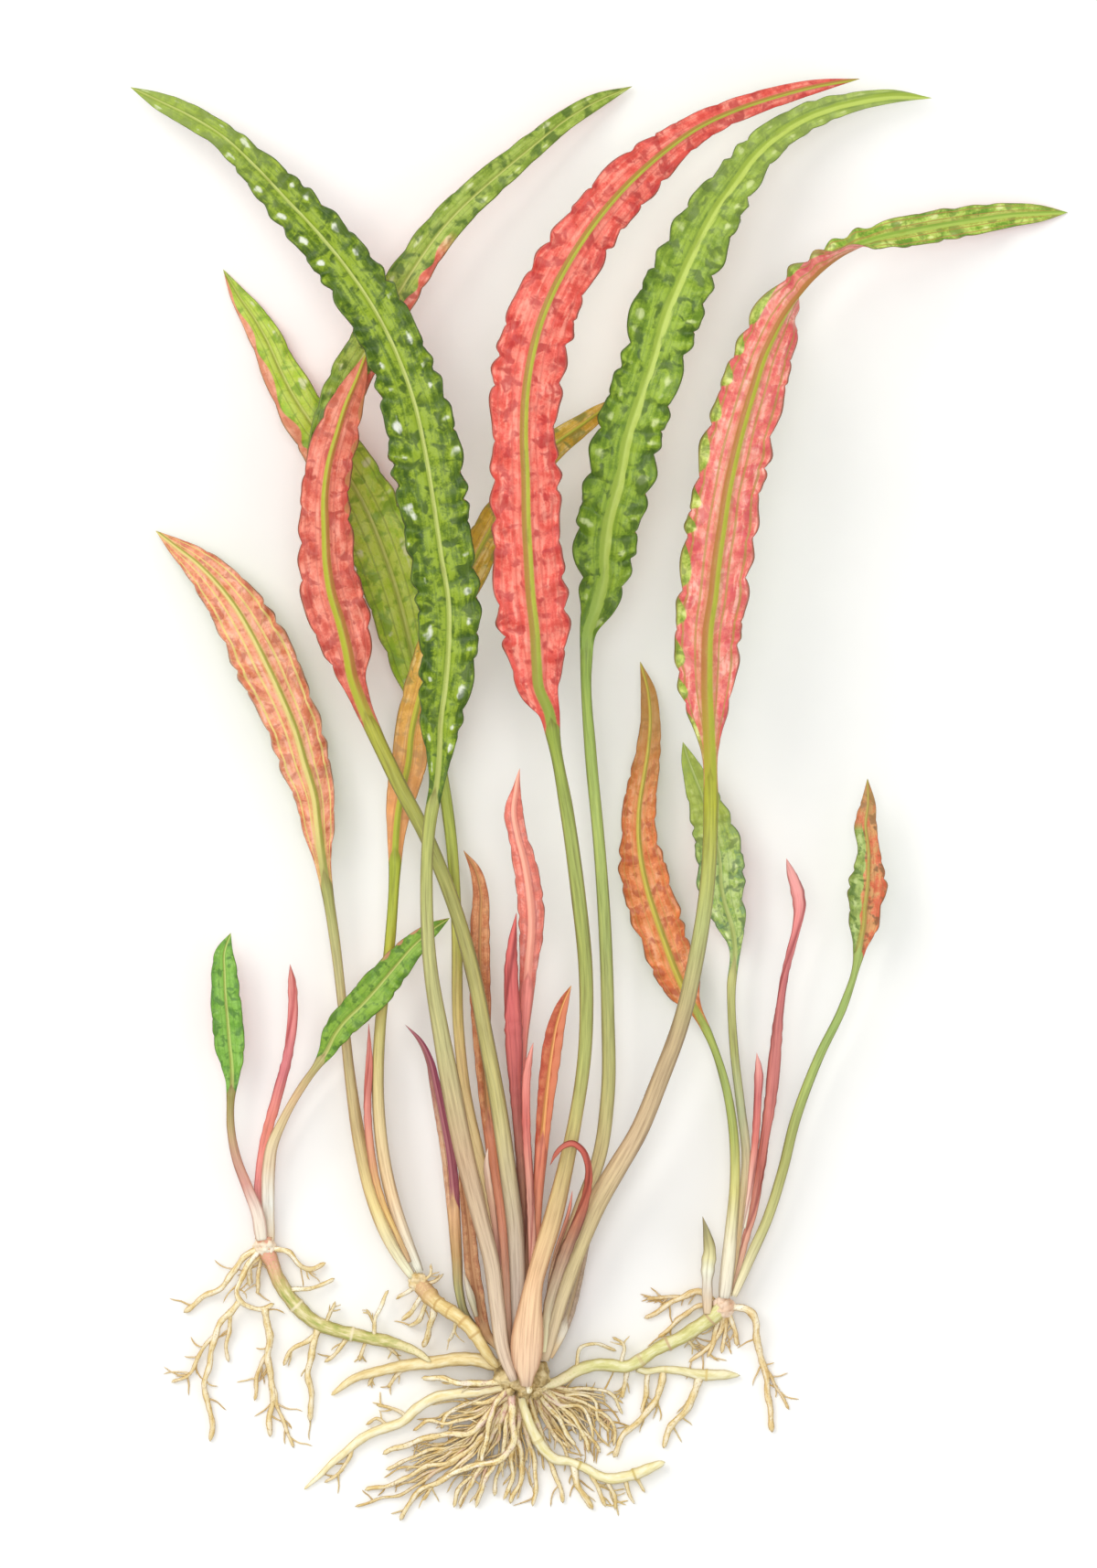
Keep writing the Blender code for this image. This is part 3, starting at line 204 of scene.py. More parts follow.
# The part of a blister's height that lies below the middle of the sheet
PUFF_LEVEL = 0.45
# A rolled leaf's margin winds once round it over this length, and stands out by ROLL_STEP
ROLL_PITCH_MM = 120
ROLL_CORE = 0.88
ROLL_STEP = 0.16
ROLL_CREASE = 0.05
# Steps that keep the textures of two leaves, and of a leaf's two sides, apart
LEAF_STEP_MM = 31
SIDE_STEP_MM = 90


def leaf_skin(stalk, tip, blade=(), roll=0.0, twist=(), around=64, rings=(70, 320), wave=16.0,
              ruffle=2.4, lobe=0.075, cell=7.5, puff=1.2, rib=(2.3, 0.5), seed=1.0):
    """Mesh of one leaf. Rows hold x, y, z and half the width; roll is 180 for underside up.

    twist has the roll of the last blade rows. A leaf without blade rows is still rolled up, and
    shows the step where it wraps over itself.
    """
    rows = leaf_rows(stalk, blade, tip, roll, twist)
    marks = row_marks(rows)
    stalk_end = marks[len(stalk)] if blade else marks[-1]
    places = np.linspace(0, stalk_end, rings[0])
    if blade:
        blade_places = np.linspace(stalk_end, marks[-1], rings[1] + 1)[1:]
        places = np.concatenate((places, blade_places))
    x, y, z, half_width, turn = read_rows(rows, places).T
    centre = np.stack((x, y, z), axis=1)
    half_width = np.clip(half_width, TIP_MM, None)

    # flat is 0 in the stalk and 1 in the blade, and share runs along the blade
    flat_span = marks[len(stalk) + 1] - stalk_end if blade else 1.0
    flat = np.clip((places - stalk_end) / flat_span, 0, 1)
    flat = flat * flat * (3 - 2 * flat)
    share = np.clip((places - stalk_end) / max(1e-3, marks[-1] - stalk_end), 0, 1)
    taper = np.clip(share / CRIMP_START, 0, 1) * np.clip((1 - share) / CRIMP_END, 0.2, 1)
    taper = taper * flat * np.clip(half_width / CRIMP_WIDTH_MM, 0.25, 1)
    along, half, flat, share, taper = [
        value[:, None] for value in (places, half_width, flat, share, taper)
    ]

    # Places round each ring: from the left edge over the top to the right edge, and back below
    place = np.arange(around + 1)
    angle = math.pi - 2 * math.pi * place / around
    even = 1 - np.abs(2 - 4 * place / around)
    side = np.where((place > 0) & (place < around // 2), 1.0, -1.0)
    side[[0, around // 2, around]] = 0.0
    across = np.cos(angle) * (1 - flat) + even * flat
    reach = np.abs(across)
    x_mm = across * half

    # The sheet folds up towards its margins, carries crimps and blisters, and has a raised midrib
    # below and a groove above
    crimp, lobes = margin_waves(along, x_mm, np.sign(across), wave, seed)
    cells = blisters(x_mm, along, cell, seed)
    puckers = blisters(x_mm, along, PUCKER_SIZE * cell, seed + 3)
    rib_half = rib[0] + (rib[1] - rib[0]) * share
    rib_share = np.exp(-RIB_FALL * (x_mm / rib_half) ** 2)
    fold = FOLD + TWIST_FOLD * np.sin(np.radians(turn))[:, None] ** 2
    sheet = fold * half * (np.sqrt(across * across + 0.01) - 0.1)
    sheet = sheet + ruffle * crimp * reach ** 1.8 * taper
    swell = puff * (cells - PUFF_LEVEL) + PUCKER_SHARE * puff * (puckers - PUFF_LEVEL)
    sheet = sheet + swell * (1 - reach ** 10) * (1 - rib_share) * taper
    sheet = sheet + side * SHEET_MM * np.sqrt(np.clip(1 - reach ** 6, 0, 1))
    sheet = sheet - np.where(side < 0, RIB_DEPTH * rib_half * rib_share, GROOVE_MM * rib_share)
    round_depth = np.clip(half * STALK_DEPTH, 0, STALK_DEPTH_LIMIT_MM) * np.sin(angle)
    round_depth = np.where(side > 0, STALK_TOP, 1.0) * round_depth
    lift = round_depth * (1 - flat) + sheet * flat
    out = x_mm * (1 + lobe * lobes * reach ** 3 * taper)
    seam = np.zeros_like(across)
    if not blade:
        coil = (angle / (2 * math.pi) + along / ROLL_PITCH_MM + 0.1 * seed) % 1
        crease = np.sin(along / 1.9 + 3 * np.sin(along / 5 + seed))
        wrapped = ROLL_CORE + ROLL_STEP * coil + ROLL_CREASE * crease
        out = out * wrapped
        lift = lift * wrapped
        seam = np.exp(-(coil / 0.09) ** 2) + np.exp(-((1 - coil) / 0.03) ** 2)

    width_way, upper_way = section_ways(centre, turn)
    section = width_way[:, None, :] * out[:, :, None] + upper_way[:, None, :] * lift[:, :, None]
    section[-1] = 0.0
    points = centre[:, None, :] + section
    points[:, :, 2] = np.maximum(points[:, :, 2], FLOOR_CLEARANCE_MM)
    ones = np.ones_like(across)
    under = (0.5 - 0.5 * side) * ones
    apart = along + LEAF_STEP_MM * seed * ones
    run = np.clip(along / stalk_end, 0, 1)
    return closed_skin(points, {
        "spot": np.stack((x_mm, apart, under * SIDE_STEP_MM), axis=2),
        "form": np.stack((across, x_mm / rib_half, flat * ones), axis=2),
        "relief": np.stack((cells * flat + seam, crimp * reach * flat, run * ones), axis=2),
        "share": share * ones,
        "under": under,
    })


def linear(hex_colour):
    """An sRGB hex colour as the linear colour that a shader takes."""
    channels = [int(hex_colour[i:i + 2], 16) / 255 for i in (0, 2, 4)]
    return (*[c / 12.92 if c <= 0.04045 else ((c + 0.055) / 1.055) ** 2.4 for c in channels], 1.0)


def add_node(tree, kind, feeds=(), stops=(), **settings):
    """Adds one shader node with its settings, and its ramp stops as (place, hex colour).

    Feeds go to its open sockets, by name or in their order. Each is a number, a colour, a
    socket, or a node, whose first open output is then taken.
    """
    node = tree.nodes.new("ShaderNode" + kind)
    for title, setting in settings.items():
        setattr(node, title, setting)
    sockets = [socket for socket in node.inputs if socket.enabled]
    for key, feed in feeds.items() if isinstance(feeds, dict) else enumerate(feeds):
        socket = sockets[key] if isinstance(key, int) else node.inputs[key]
        if isinstance(feed, bpy.types.Node):
            feed = next(output for output in feed.outputs if output.enabled)
        if isinstance(feed, bpy.types.NodeSocket):
            tree.links.new(feed, socket)
        else:
            socket.default_value = feed
    for i, (place, hex_colour) in enumerate(stops):
        ramp = node.color_ramp.elements
        stop = ramp[i] if i < 2 else ramp.new(place)
        stop.position = place
        stop.color = linear(hex_colour)
    return node


def spread(colours, low=0.3, high=0.7):
    """Ramp stops at even steps for a list of colours from dark to pale."""
    return [(low + (high - low) * i / (len(colours) - 1), c) for i, c in enumerate(colours)]


# Patterns per millimetre, across the leaf and along it. Real fibres and cells are too fine to
# show, so they are drawn about 1 mm wide, and the slanting veins stand 8 mm apart
STREAKS_PER_MM = (0.45, 0.06, 1.0)
FIBRES_PER_MM = (0.9, 0.035, 1.0)
GRAINS_PER_MM = 1.1
GLINTS_PER_MM = 0.16
SLANTING_VEIN_MM = 4.0


def leaf_places(tree, patch):
    """The values stored on a leaf's mesh, and the three textures that its tissues share.

    cloud has patches of the given size in mm, streak runs along the leaf, and grain is fine.
    """
    spot = add_node(tree, "Attribute", attribute_name="spot").outputs["Vector"]
    form = add_node(tree, "Attribute", attribute_name="form").outputs["Vector"]
    relief = add_node(tree, "Attribute", attribute_name="relief").outputs["Vector"]
    across, rib_place, blade = add_node(tree, "SeparateXYZ", [form]).outputs
    dome, crimp, run = add_node(tree, "SeparateXYZ", [relief]).outputs
    x_mm, y_mm, _ = add_node(tree, "SeparateXYZ", [spot]).outputs
    drawn = add_node(tree, "Mapping", {"Vector": spot, "Scale": STREAKS_PER_MM})
    below = add_node(tree, "Attribute", attribute_name="under").outputs["Fac"]
    return SimpleNamespace(
        spot=spot, across=across, rib_place=rib_place, blade=blade, dome=dome, crimp=crimp,
        run=run, x_mm=x_mm, y_mm=y_mm,
        share=add_node(tree, "Attribute", attribute_name="share").outputs["Fac"],
        reach=add_node(tree, "Math", [across], operation="ABSOLUTE"),
        side=add_node(tree, "MapRange", [below, 0.4, 0.6], interpolation_type="SMOOTHSTEP"),
        cloud=add_node(tree, "TexNoise", {
            "Vector": spot, "Scale": 1 / patch, "Detail": 4.0, "Roughness": 0.62,
        }),
        streak=add_node(tree, "TexNoise", {"Vector": drawn, "Scale": 1.0, "Detail": 3.0}),
        grain=add_node(tree, "TexNoise", {
            "Vector": spot, "Scale": GRAINS_PER_MM, "Detail": 2.0, "Roughness": 0.6,
        }),
    )


def mottled_flesh(tree, at, upper, under, patch, blots, glints):
    """Flesh of the upper side and of the underside: clouds, blots, painted glints and painted
    sheen.
    """
    # The flesh is paler on the blisters and on the crests of the crimps, as painted highlight, and
    # darker towards the margin
    tone = add_node(tree, "Math", [at.cloud, 0.65, -0.13], operation="MULTIPLY_ADD")
    parts = (
        (at.streak, 0.5), (at.grain, 0.2), (at.dome, 0.12), (at.crimp, 0.05), (at.reach, -0.15),
    )
    for part, weight in parts:
        tone = add_node(tree, "Math", [part, weight, tone], operation="MULTIPLY_ADD")
    # Blots lie at random, more of them towards the margin and, as painted shade, in the hollows
    # between the blisters and the troughs of the crimps
    blot_and_hollow_shade = add_node(tree, "TexNoise", {
        "Vector": at.spot, "Scale": 1 / patch, "Detail": 3.0, "Roughness": 0.5,
        "Distortion": 0.45,
    })
    for part, weight in ((at.reach, 0.07), (at.crimp, -0.03), (at.dome, -0.07)):
        blot_and_hollow_shade = add_node(tree, "Math", [part, weight, blot_and_hollow_shade], operation="MULTIPLY_ADD")
    blot_and_hollow_shade = add_node(tree, "MapRange", [blot_and_hollow_shade, 0.48, 0.62, 0.0, blots],
                    interpolation_type="SMOOTHSTEP")
    # Above, painted highlights: glints on some crests of the crimps, about two thirds of the way to
    # the margin. Below, painted sheen: pale stretches that follow the streaks and clouds
    glint = add_node(tree, "TexNoise", {
        "Vector": at.spot, "Scale": GLINTS_PER_MM, "Detail": 2.0,
    })
    off_crest = add_node(tree, "Math", [at.reach, 0.62], operation="SUBTRACT")
    off_crest = add_node(tree, "Math", [off_crest], operation="ABSOLUTE")
    for part, weight in ((at.dome, 0.75), (at.crimp, 0.6), (off_crest, -1.8)):
        glint = add_node(tree, "Math", [part, weight, glint], operation="MULTIPLY_ADD")
    glint = add_node(tree, "MapRange", [glint, 1.2, 1.5, 0.0, glints],
                     interpolation_type="SMOOTHSTEP")
    painted_sheen = add_node(tree, "Math", [at.cloud, 0.45, -0.04], operation="MULTIPLY_ADD")
    painted_sheen = add_node(tree, "Math", [at.streak, 0.65, painted_sheen], operation="MULTIPLY_ADD")
    painted_sheen = add_node(tree, "MapRange", [painted_sheen, 0.51, 0.62, 0.0, glints],
                    interpolation_type="SMOOTHSTEP")
    sides = []
    for colours, pale in ((upper, glint), (under, painted_sheen)):
        flesh = add_node(tree, "ValToRGB", [tone], stops=spread(colours[1:4], 0.41, 0.59))
        flesh = add_node(tree, "Mix", [pale, flesh, linear(colours[4])], data_type="RGBA")
        flesh = add_node(tree, "Mix", [blot_and_hollow_shade, flesh, linear(colours[0])], data_type="RGBA")
        sides.append(flesh)
    return sides


def side_veins(tree, at, vein_width):
    """Veins of the blade, from 0 to 1: some that run along it, and slanting ones between them."""
    along = add_node(tree, "Math", [at.reach, 0.03], operation="ADD")
    along = add_node(tree, "Math", [along, 0.2], operation="PINGPONG")
    along = add_node(tree, "MapRange", [along, 0.4 * vein_width, vein_width, 1.0, 0.0],
                     interpolation_type="SMOOTHSTEP")
    slant = add_node(tree, "Math", [at.x_mm], operation="ABSOLUTE")
    slant = add_node(tree, "Math", [slant, -1.3, at.y_mm], operation="MULTIPLY_ADD")
    slant = add_node(tree, "Math", [slant, SLANTING_VEIN_MM], operation="PINGPONG")
    slant = add_node(tree, "MapRange", [slant, 0.12, 0.5, 0.35, 0.0],
                     interpolation_type="SMOOTHSTEP")
    return add_node(tree, "Math", [along, slant], operation="MAXIMUM")


def margin_strip(tree, at, inner, hand, first, last):
    """How far a point lies in a strip along one margin, whose inner edge follows the crimps."""
    strip = add_node(tree, "Math", [at.across, hand], operation="MULTIPLY")
    strip = add_node(tree, "Math", [at.crimp, 0.22, strip], operation="MULTIPLY_ADD")
    strip = add_node(tree, "MapRange", [strip, inner, inner + 0.06, 0.0, 0.9],
                     interpolation_type="SMOOTHSTEP")
    for edge, start, end in ((first, 0.0, 1.0), (last, 1.0, 0.0)):
        inside = add_node(tree, "MapRange", [at.share, edge, edge + 0.04, start, end])
        strip = add_node(tree, "Math", [strip, inside], operation="MULTIPLY")
    return strip


def add_midrib(tree, at, flesh, rib, rib_above, rib_wander, start_colour, furrow_colour):
    """Lays the midrib on the flesh: a flank painted as lit, one darker as painted shade, and a
    furrow beside each.
    """
    # The two sides of the midrib get two colours: painted light on the one and painted shade on the
    # other
    flank = add_node(tree, "MapRange", [at.rib_place, -0.25, 0.1],
                     interpolation_type="SMOOTHSTEP")
    ridge = add_node(tree, "Mix", [flank, linear(rib[0]), linear(rib[1])], data_type="RGBA")
    if rib_above:
        groove = add_node(tree, "Mix", [flank, linear(rib_above[0]), linear(rib_above[1])],
                          data_type="RGBA")
        ridge = add_node(tree, "Mix", [at.side, groove, ridge], data_type="RGBA")
    early = add_node(tree, "MapRange", [at.share, 0.02, 0.16, 1.0, 0.0])
    ridge = add_node(tree, "Mix", [early, ridge, linear(start_colour)], data_type="RGBA")
    rib_reach = add_node(tree, "Math", [at.rib_place], operation="ABSOLUTE")
    rib_edge = add_node(tree, "Math", [at.streak, -rib_wander, rib_reach],
                        operation="MULTIPLY_ADD")
    middle = 0.5 * rib_wander
    rib_mix = add_node(tree, "MapRange", [rib_edge, 0.6 - middle, 0.9 - middle, 1.0, 0.0],
                       interpolation_type="SMOOTHSTEP")
    flesh = add_node(tree, "Mix", [rib_mix, flesh, ridge], data_type="RGBA")
    furrow = add_node(tree, "Math", [rib_reach, 1.0, 0.2], operation="COMPARE")
    furrow = add_node(tree, "Math", [furrow, 0.35], operation="MULTIPLY")
    return add_node(tree, "Mix", [furrow, flesh, linear(furrow_colour)], data_type="RGBA")


FIBRE_DARK = "8A6A48"
FIBRE_PALE = "FFF6E0"


def stalk_flesh(tree, at, fibre, stalk, stalk_shade):
    """Flesh of the stalk, streaked with fine fibres, with painted shade along its sides and along
    the seam of a rolled leaf.
    """
    # Near the rhizome several stalks have colours paler than their own: painted light that offsets
    # the shade under the leaves above
    steps = [(i / (len(stalk) - 1), colour) for i, colour in enumerate(stalk)]
    stem = add_node(tree, "ValToRGB", [at.run], stops=steps)
    pale = add_node(tree, "MapRange", [fibre, 0.5, 0.72, 0.0, 0.5])
    stem = add_node(tree, "Mix", [pale, stem, linear(FIBRE_PALE)], data_type="RGBA",
                    blend_type="SOFT_LIGHT")
    dark = add_node(tree, "MapRange", [fibre, 0.5, 0.3, 0.0, 0.42])
    stem = add_node(tree, "Mix", [dark, stem, linear(FIBRE_DARK)], data_type="RGBA",
                    blend_type="MULTIPLY")
    # Painted shade: darker along the stalk's sides, and along the seam where a rolled leaf wraps
    # over itself
    stalk_flank_shade = add_node(tree, "MapRange", [at.reach, 0.68, 1.0, 0.0, 0.68])
    painted_seam_shade = add_node(tree, "Math", [at.dome, 0.7], operation="MULTIPLY")
    stalk_flank_shade = add_node(tree, "Math", [stalk_flank_shade, painted_seam_shade], operation="MAXIMUM")
    return add_node(tree, "Mix", [stalk_flank_shade, stem, linear(stalk_shade)], data_type="RGBA",
                    blend_type="MULTIPLY")


# The two sides of a leaf, and the colours of a side that hardly shows
UPPER = 0
UNDER = 1
GREEN_UPPER = ("3C5A18", "668420", "80A026", "9CBA3C", "E6ECC4")
RED_UNDER = ("CC5648", "DE6E5C", "EA7E6C", "F0907E", "F6B8A8")


def leaf_tissue(name, rib, stalk, vein, upper=GREEN_UPPER, under=RED_UNDER, vein_share=0.35,
                vein_width=0.04, rib_above=None, rib_wander=0.0, rim="6E6A48", rim_share=0.6,
                margin=None, fade=None, patch=6.0, gloss=0.42, blots=0.8, glints=0.8,
                stalk_shade="8A6A48"):
    """Living leaf tissue: waxy cuticle over mottled flesh, with veins of its own.

    The cuticle gives the eye soft broken highlights on the blisters, and the flesh below it
    gives clouds, blots that hold painted shade in the hollows, and a change of green or red
    from the midrib out to the margin, with painted glints above and painted sheen below.

    upper and under have five colours each: the blots, dark, middle and pale flesh, and last the
    painted glints of the upper side and the painted sheen of the underside. rib has the colours
    of the midrib's two sides, one painted as lit and one darker as painted shade, rib_above those
    on the upper side, and rib_wander says how unevenly it ends. stalk has the colours from the
    base to the blade, where some near the base are paler than the stalk's own colour, as painted
    light. margin is (colour, from where across, side, from share, to share) of a strip of it, and
    UPPER or UNDER as its colour gives it the look of that side. fade is (colour, from share, to
    share) of a change of the flesh along the blade. stalk_shade colours the painted shade along
    the stalk's sides and along the seam of a rolled leaf.
    """
    material = bpy.data.materials.new(name)
    material.use_nodes = True
    tree = material.node_tree
    shader = tree.nodes["Principled BSDF"]
    shader.inputs["IOR"].default_value = 1.42
    at = leaf_places(tree, patch)

    sides = mottled_flesh(tree, at, upper, under, patch, blots, glints)
    flesh = add_node(tree, "Mix", [at.side, *sides], data_type="RGBA")
    veins = side_veins(tree, at, vein_width)
    vein_mix = add_node(tree, "Math", [veins, vein_share], operation="MULTIPLY")
    flesh = add_node(tree, "Mix", [vein_mix, flesh, linear(vein)], data_type="RGBA")
    if fade:
        colour, first, last = fade
        late = add_node(tree, "MapRange", [at.share, first, last, 0.0, 0.7])
        flesh = add_node(tree, "Mix", [late, flesh, linear(colour)], data_type="RGBA")
    if margin:
        colour, *limits = margin
        strip_colour = linear(colour) if isinstance(colour, str) else sides[colour]
        strip = margin_strip(tree, at, *limits)
        flesh = add_node(tree, "Mix", [strip, flesh, strip_colour], data_type="RGBA")
    rim_mix = add_node(tree, "MapRange", [at.reach, 0.93, 0.99, 0.0, rim_share])
    flesh = add_node(tree, "Mix", [rim_mix, flesh, linear(rim)], data_type="RGBA")
    flesh = add_midrib(tree, at, flesh, rib, rib_above, rib_wander, stalk[-1], vein)

    lines = add_node(tree, "Mapping", {"Vector": at.spot, "Scale": FIBRES_PER_MM})
    fibre = add_node(tree, "TexNoise", {
        "Vector": lines, "Scale": 1.0, "Detail": 3.0, "Roughness": 0.6,
    })
    stem = stalk_flesh(tree, at, fibre, stalk, stalk_shade)
    # The flesh of the blade begins along the stalk's flanks
    opened = add_node(tree, "Math", [at.reach, 0.75, at.blade], operation="MULTIPLY_ADD")
    opened = add_node(tree, "Math", [at.streak, 0.6, opened], operation="MULTIPLY_ADD")
    opened = add_node(tree, "MapRange", [opened, 1.1, 1.3], interpolation_type="SMOOTHSTEP")
    colour = add_node(tree, "Mix", [opened, stem, flesh], data_type="RGBA")
    tree.links.new(colour.outputs[2], shader.inputs["Base Color"])

    roughness = add_node(tree, "MapRange", [at.grain, 0.3, 0.7, gloss - 0.08, gloss + 0.12])
    tree.links.new(roughness.outputs[0], shader.inputs["Roughness"])
    height = add_node(tree, "Math", [veins, -0.6, at.grain], operation="MULTIPLY_ADD")
    closed = add_node(tree, "Math", [1.0, at.blade], operation="SUBTRACT")
    height = add_node(tree, "Math", [fibre, closed, height], operation="MULTIPLY_ADD")
    bump = add_node(tree, "Bump", {"Strength": 0.45, "Distance": 0.0003, "Height": height})
    tree.links.new(bump.outputs[0], shader.inputs["Normal"])
    return material


def plant(node, mesh, material):
    """Makes the mesh a piece of the plant that stands for one node."""
    mesh.name = node
    mesh.materials.append(material)
    piece = bpy.data.objects.new(node + "_grown", mesh)
    bpy.context.scene.collection.objects.link(piece)
    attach(piece, "root")
    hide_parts(node)


plant("front_green_leaf", leaf_skin(
    stalk=[
        (-6, -0.5, 26, 2.2), (-9.5, 9, 27, 3.1), (-12.3, 28, 28.5, 3.5), (-15.2, 50, 30.5, 3.6),
        (-20.5, 71, 33.5, 3.8), (-26.5, 95, 38.5, 4.2), (-32, 123, 44, 4.4), (-37, 150, 49, 3.7),
        (-41.5, 178, 54, 3.1), (-43.2, 205, 57.5, 2.8), (-41.5, 244, 62, 2.9),
    ],
    blade=[
        (-38.5, 261, 64, 3.6), (-37.5, 273, 65, 6), (-37, 286, 66, 9), (-35, 301, 67.5, 11),
        (-33.5, 319, 69, 12.5), (-33.5, 337, 70, 13.7), (-37, 360, 71, 14),
        (-40.5, 384, 71.5, 15), (-44, 405, 71, 15.5), (-48.5, 425, 70, 14.3),
        (-56, 446, 68, 12.8), (-66, 466, 65, 12.8), (-78, 484, 60, 12), (-91, 500, 54.5, 11.2),
        (-105, 515, 48, 9.8), (-119, 530, 41, 7.5), (-133, 543, 34, 5.6), (-148, 552.5, 27, 5.2),
        (-161, 559, 21, 3.8),
    ],
    tip=(-174, 565.5, 15),
    wave=14, ruffle=2.2, lobe=0.095, cell=8.5, puff=1.4, rib=(1.6, 0.6), seed=1.0,
), leaf_tissue(
    "Upper side of a mature leaf, deep green",
    upper=("2C4A0A", "4A660C", "66800E", "90A828", "F0F2E8"),
    rib=("A2B050", "B8C26C"), vein="5E7A2A", vein_share=0.3,
    stalk=("E6CFB6", "D1BBA0", "CCAE8C", "BCB680", "B6B776", "A8AF5B"), rim="55703A",
    fade=("A8BC55", 0.72, 1.0), stalk_shade="9A7850",
))

# The right green leaf also shows its upper side. Its midrib is broad, fleshy and yellow-green,
# and its tough margin is crimped into scallops about 15 mm long.

plant("right_green_leaf", leaf_skin(
    stalk=[
        (6.5, 9, 11, 2.4), (10.5, 28, 11, 2.7), (17.5, 54, 11.5, 2.9), (25, 75, 13, 3),
        (32, 94, 15.5, 3.1), (36, 122, 18.5, 3.1), (36, 160, 22.5, 2.9), (34.5, 200, 26.5, 2.8),
        (32, 235, 30, 2.6), (28.5, 272, 34, 2.6), (26.5, 311, 39, 2.6),
    ],
    blade=[
        (27.5, 326, 40.5, 3.8), (31.5, 338, 42, 8), (34, 349, 43.5, 10.5), (34.7, 362, 45, 13.3),
        (37, 377, 47, 13.6), (41, 392, 48.5, 14.6), (44.5, 410, 50.3, 14.5),
        (50, 427, 51.2, 14.2), (56, 445, 51, 13.4), (61.5, 464, 49.5, 15.2), (68, 480, 47, 14),
        (75, 495, 44, 13.4), (83, 510, 40.5, 11.8), (92, 523, 36, 9.5), (101, 535, 31, 8.2),
        (112, 545, 26, 7), (126, 553, 21, 6), (143, 558.5, 16.5, 4.4), (161, 561.5, 12.5, 3),
    ],
    tip=(179, 561, 9),
    wave=15, ruffle=2.2, lobe=0.11, cell=8.0, puff=1.4, rib=(3.4, 1.8), seed=5.0,
), leaf_tissue(
    "Upper side of a mature leaf, bright green",
    upper=("3A5816", "64841E", "7C9A26", "98B438", "D4E09C"),
    rib=("9CB240", "BACC60"), vein="64802C", vein_share=0.3, rib_wander=2.0,
    stalk=("ECB996", "DEC499", "C3C07D", "A5B166", "ABBE66", "9CB853"), rim="5E7A38",
    fade=("B4C46C", 0.5, 1.0),
))

# The two pale green leaves stand behind. The left one is bent so that a strip of its pink
# underside shows along its left margin, and the other has a red stretch on its right margin.

plant("back_green_leaf", leaf_skin(
    stalk=[
        (-5, 9, 10, 1.9), (-6.5, 28, 8.5, 2.1), (-7.2, 50, 7.5, 2.2), (-8, 75, 8, 2.2),
        (-10.5, 100, 9.5, 2.2), (-16, 135, 11.5, 2.2), (-23, 170, 13.5, 2.2),
        (-31.5, 203, 15.5, 2.2), (-41, 228, 17, 2.3), (-52, 251, 18.5, 2.4), (-62, 272, 21, 2.6),
    ],
    blade=[
        (-70, 289, 24, 3.6), (-76, 306, 27, 5.5), (-81.5, 330, 30, 7.9), (-85.5, 356, 31.7, 9.2),
        (-87.5, 384, 32.5, 9.3), (-86.5, 404, 33, 9.2), (-83.5, 420, 33.5, 9),
        (-77.5, 436, 33, 9), (-68, 453, 33, 9), (-58.5, 470, 33, 8.8), (-49.5, 484.5, 32.5, 8.3),
        (-41, 497, 31.5, 7.8), (-31, 509, 29.5, 7.3), (-20, 519.5, 27, 6.8), (-8, 530, 23.5, 6.2),
        (5, 541, 19, 5.3), (18, 551.5, 13.5, 4.5), (32, 560, 7.5, 3.4),
    ],
    tip=(47, 566.5, 2.5),
    around=48, rings=(60, 280), wave=20, ruffle=1.6, lobe=0.06, cell=7.5, puff=0.9,
    rib=(1.6, 0.5), seed=8.0,
), leaf_tissue(
    "Upper side of a leaf grown in shade, light green",
    upper=("40601A", "7C9630", "92AA3E", "A8BC54", "D8E0A8"),
    under=("C04C44", "D85C50", "E0645A", "EC8074", "F4A498"),
    rib=("9CA848", "B8C068"), vein="7C8C38", vein_share=0.4, patch=7.0,
    stalk=("B89678", "BCAA78", "B8B070", "A8A65E", "A2A656"), rim="7A8448",
    margin=(UNDER, 0.55, 1.0, 0.36, 0.66),
))

plant("left_green_leaf", leaf_skin(
    stalk=[
        (-9, 9, 13, 2), (-10.8, 28, 12.5, 2.3), (-12.2, 50, 12, 2.4), (-15.5, 75, 12, 2.4),
        (-21, 98, 11.8, 2.4), (-26.3, 122, 11, 2.4), (-29.5, 150, 10, 2.4),
        (-30.6, 200, 8.8, 2.4), (-33.5, 240, 9.6, 2.6), (-38.5, 270, 11, 3),
    ],
    blade=[
        (-43, 287, 12, 4.2), (-46.2, 300, 13, 7.2), (-49.5, 314, 14, 10.5), (-53, 329, 15, 12.5),
        (-57.5, 346, 16, 14), (-63, 362, 16.5, 14.5), (-69.5, 378, 17, 14.5),
        (-78, 394, 16.5, 13.5), (-87, 408, 15.5, 12), (-96, 420, 14, 10.5), (-103, 431, 12, 9.3),
        (-108.5, 442, 9.5, 8), (-113.5, 453, 7, 7.2), (-119, 463, 4.5, 6),
        (-126.5, 474, 2.3, 3.8),
    ],
    tip=(-133.5, 486, 0.6),
    around=56, rings=(60, 260), wave=22, ruffle=2.2, lobe=0.06, cell=8, puff=0.9,
    rib=(1.8, 0.6), seed=11.0,
), leaf_tissue(
    "Upper side of a leaf grown in shade, yellowish green",
    upper=("779C20", "98BB32", "ACC53A", "B7CA51", "F3E3F3"),
    under=("D47860", "E08A74", "E8947C", "F0A890", "F6C4B0"),
    rib=("98A442", "B4BE5C"), vein="748434", vein_share=0.45,
    glints=0.3, stalk=("EDCFB5", "F3E2A9", "DEC486", "BAC258", "A6BA53"), rim="8A8450",
    margin=(UNDER, 0.6, -1.0, 0.42, 0.98),
))

# The left red leaf and the centre red leaf lie underside up. Their flesh is red, their raised
# midrib has a bright green flank and an olive one, and the centre one's stalk swells into a
# peach coloured base that clasps the rhizome.

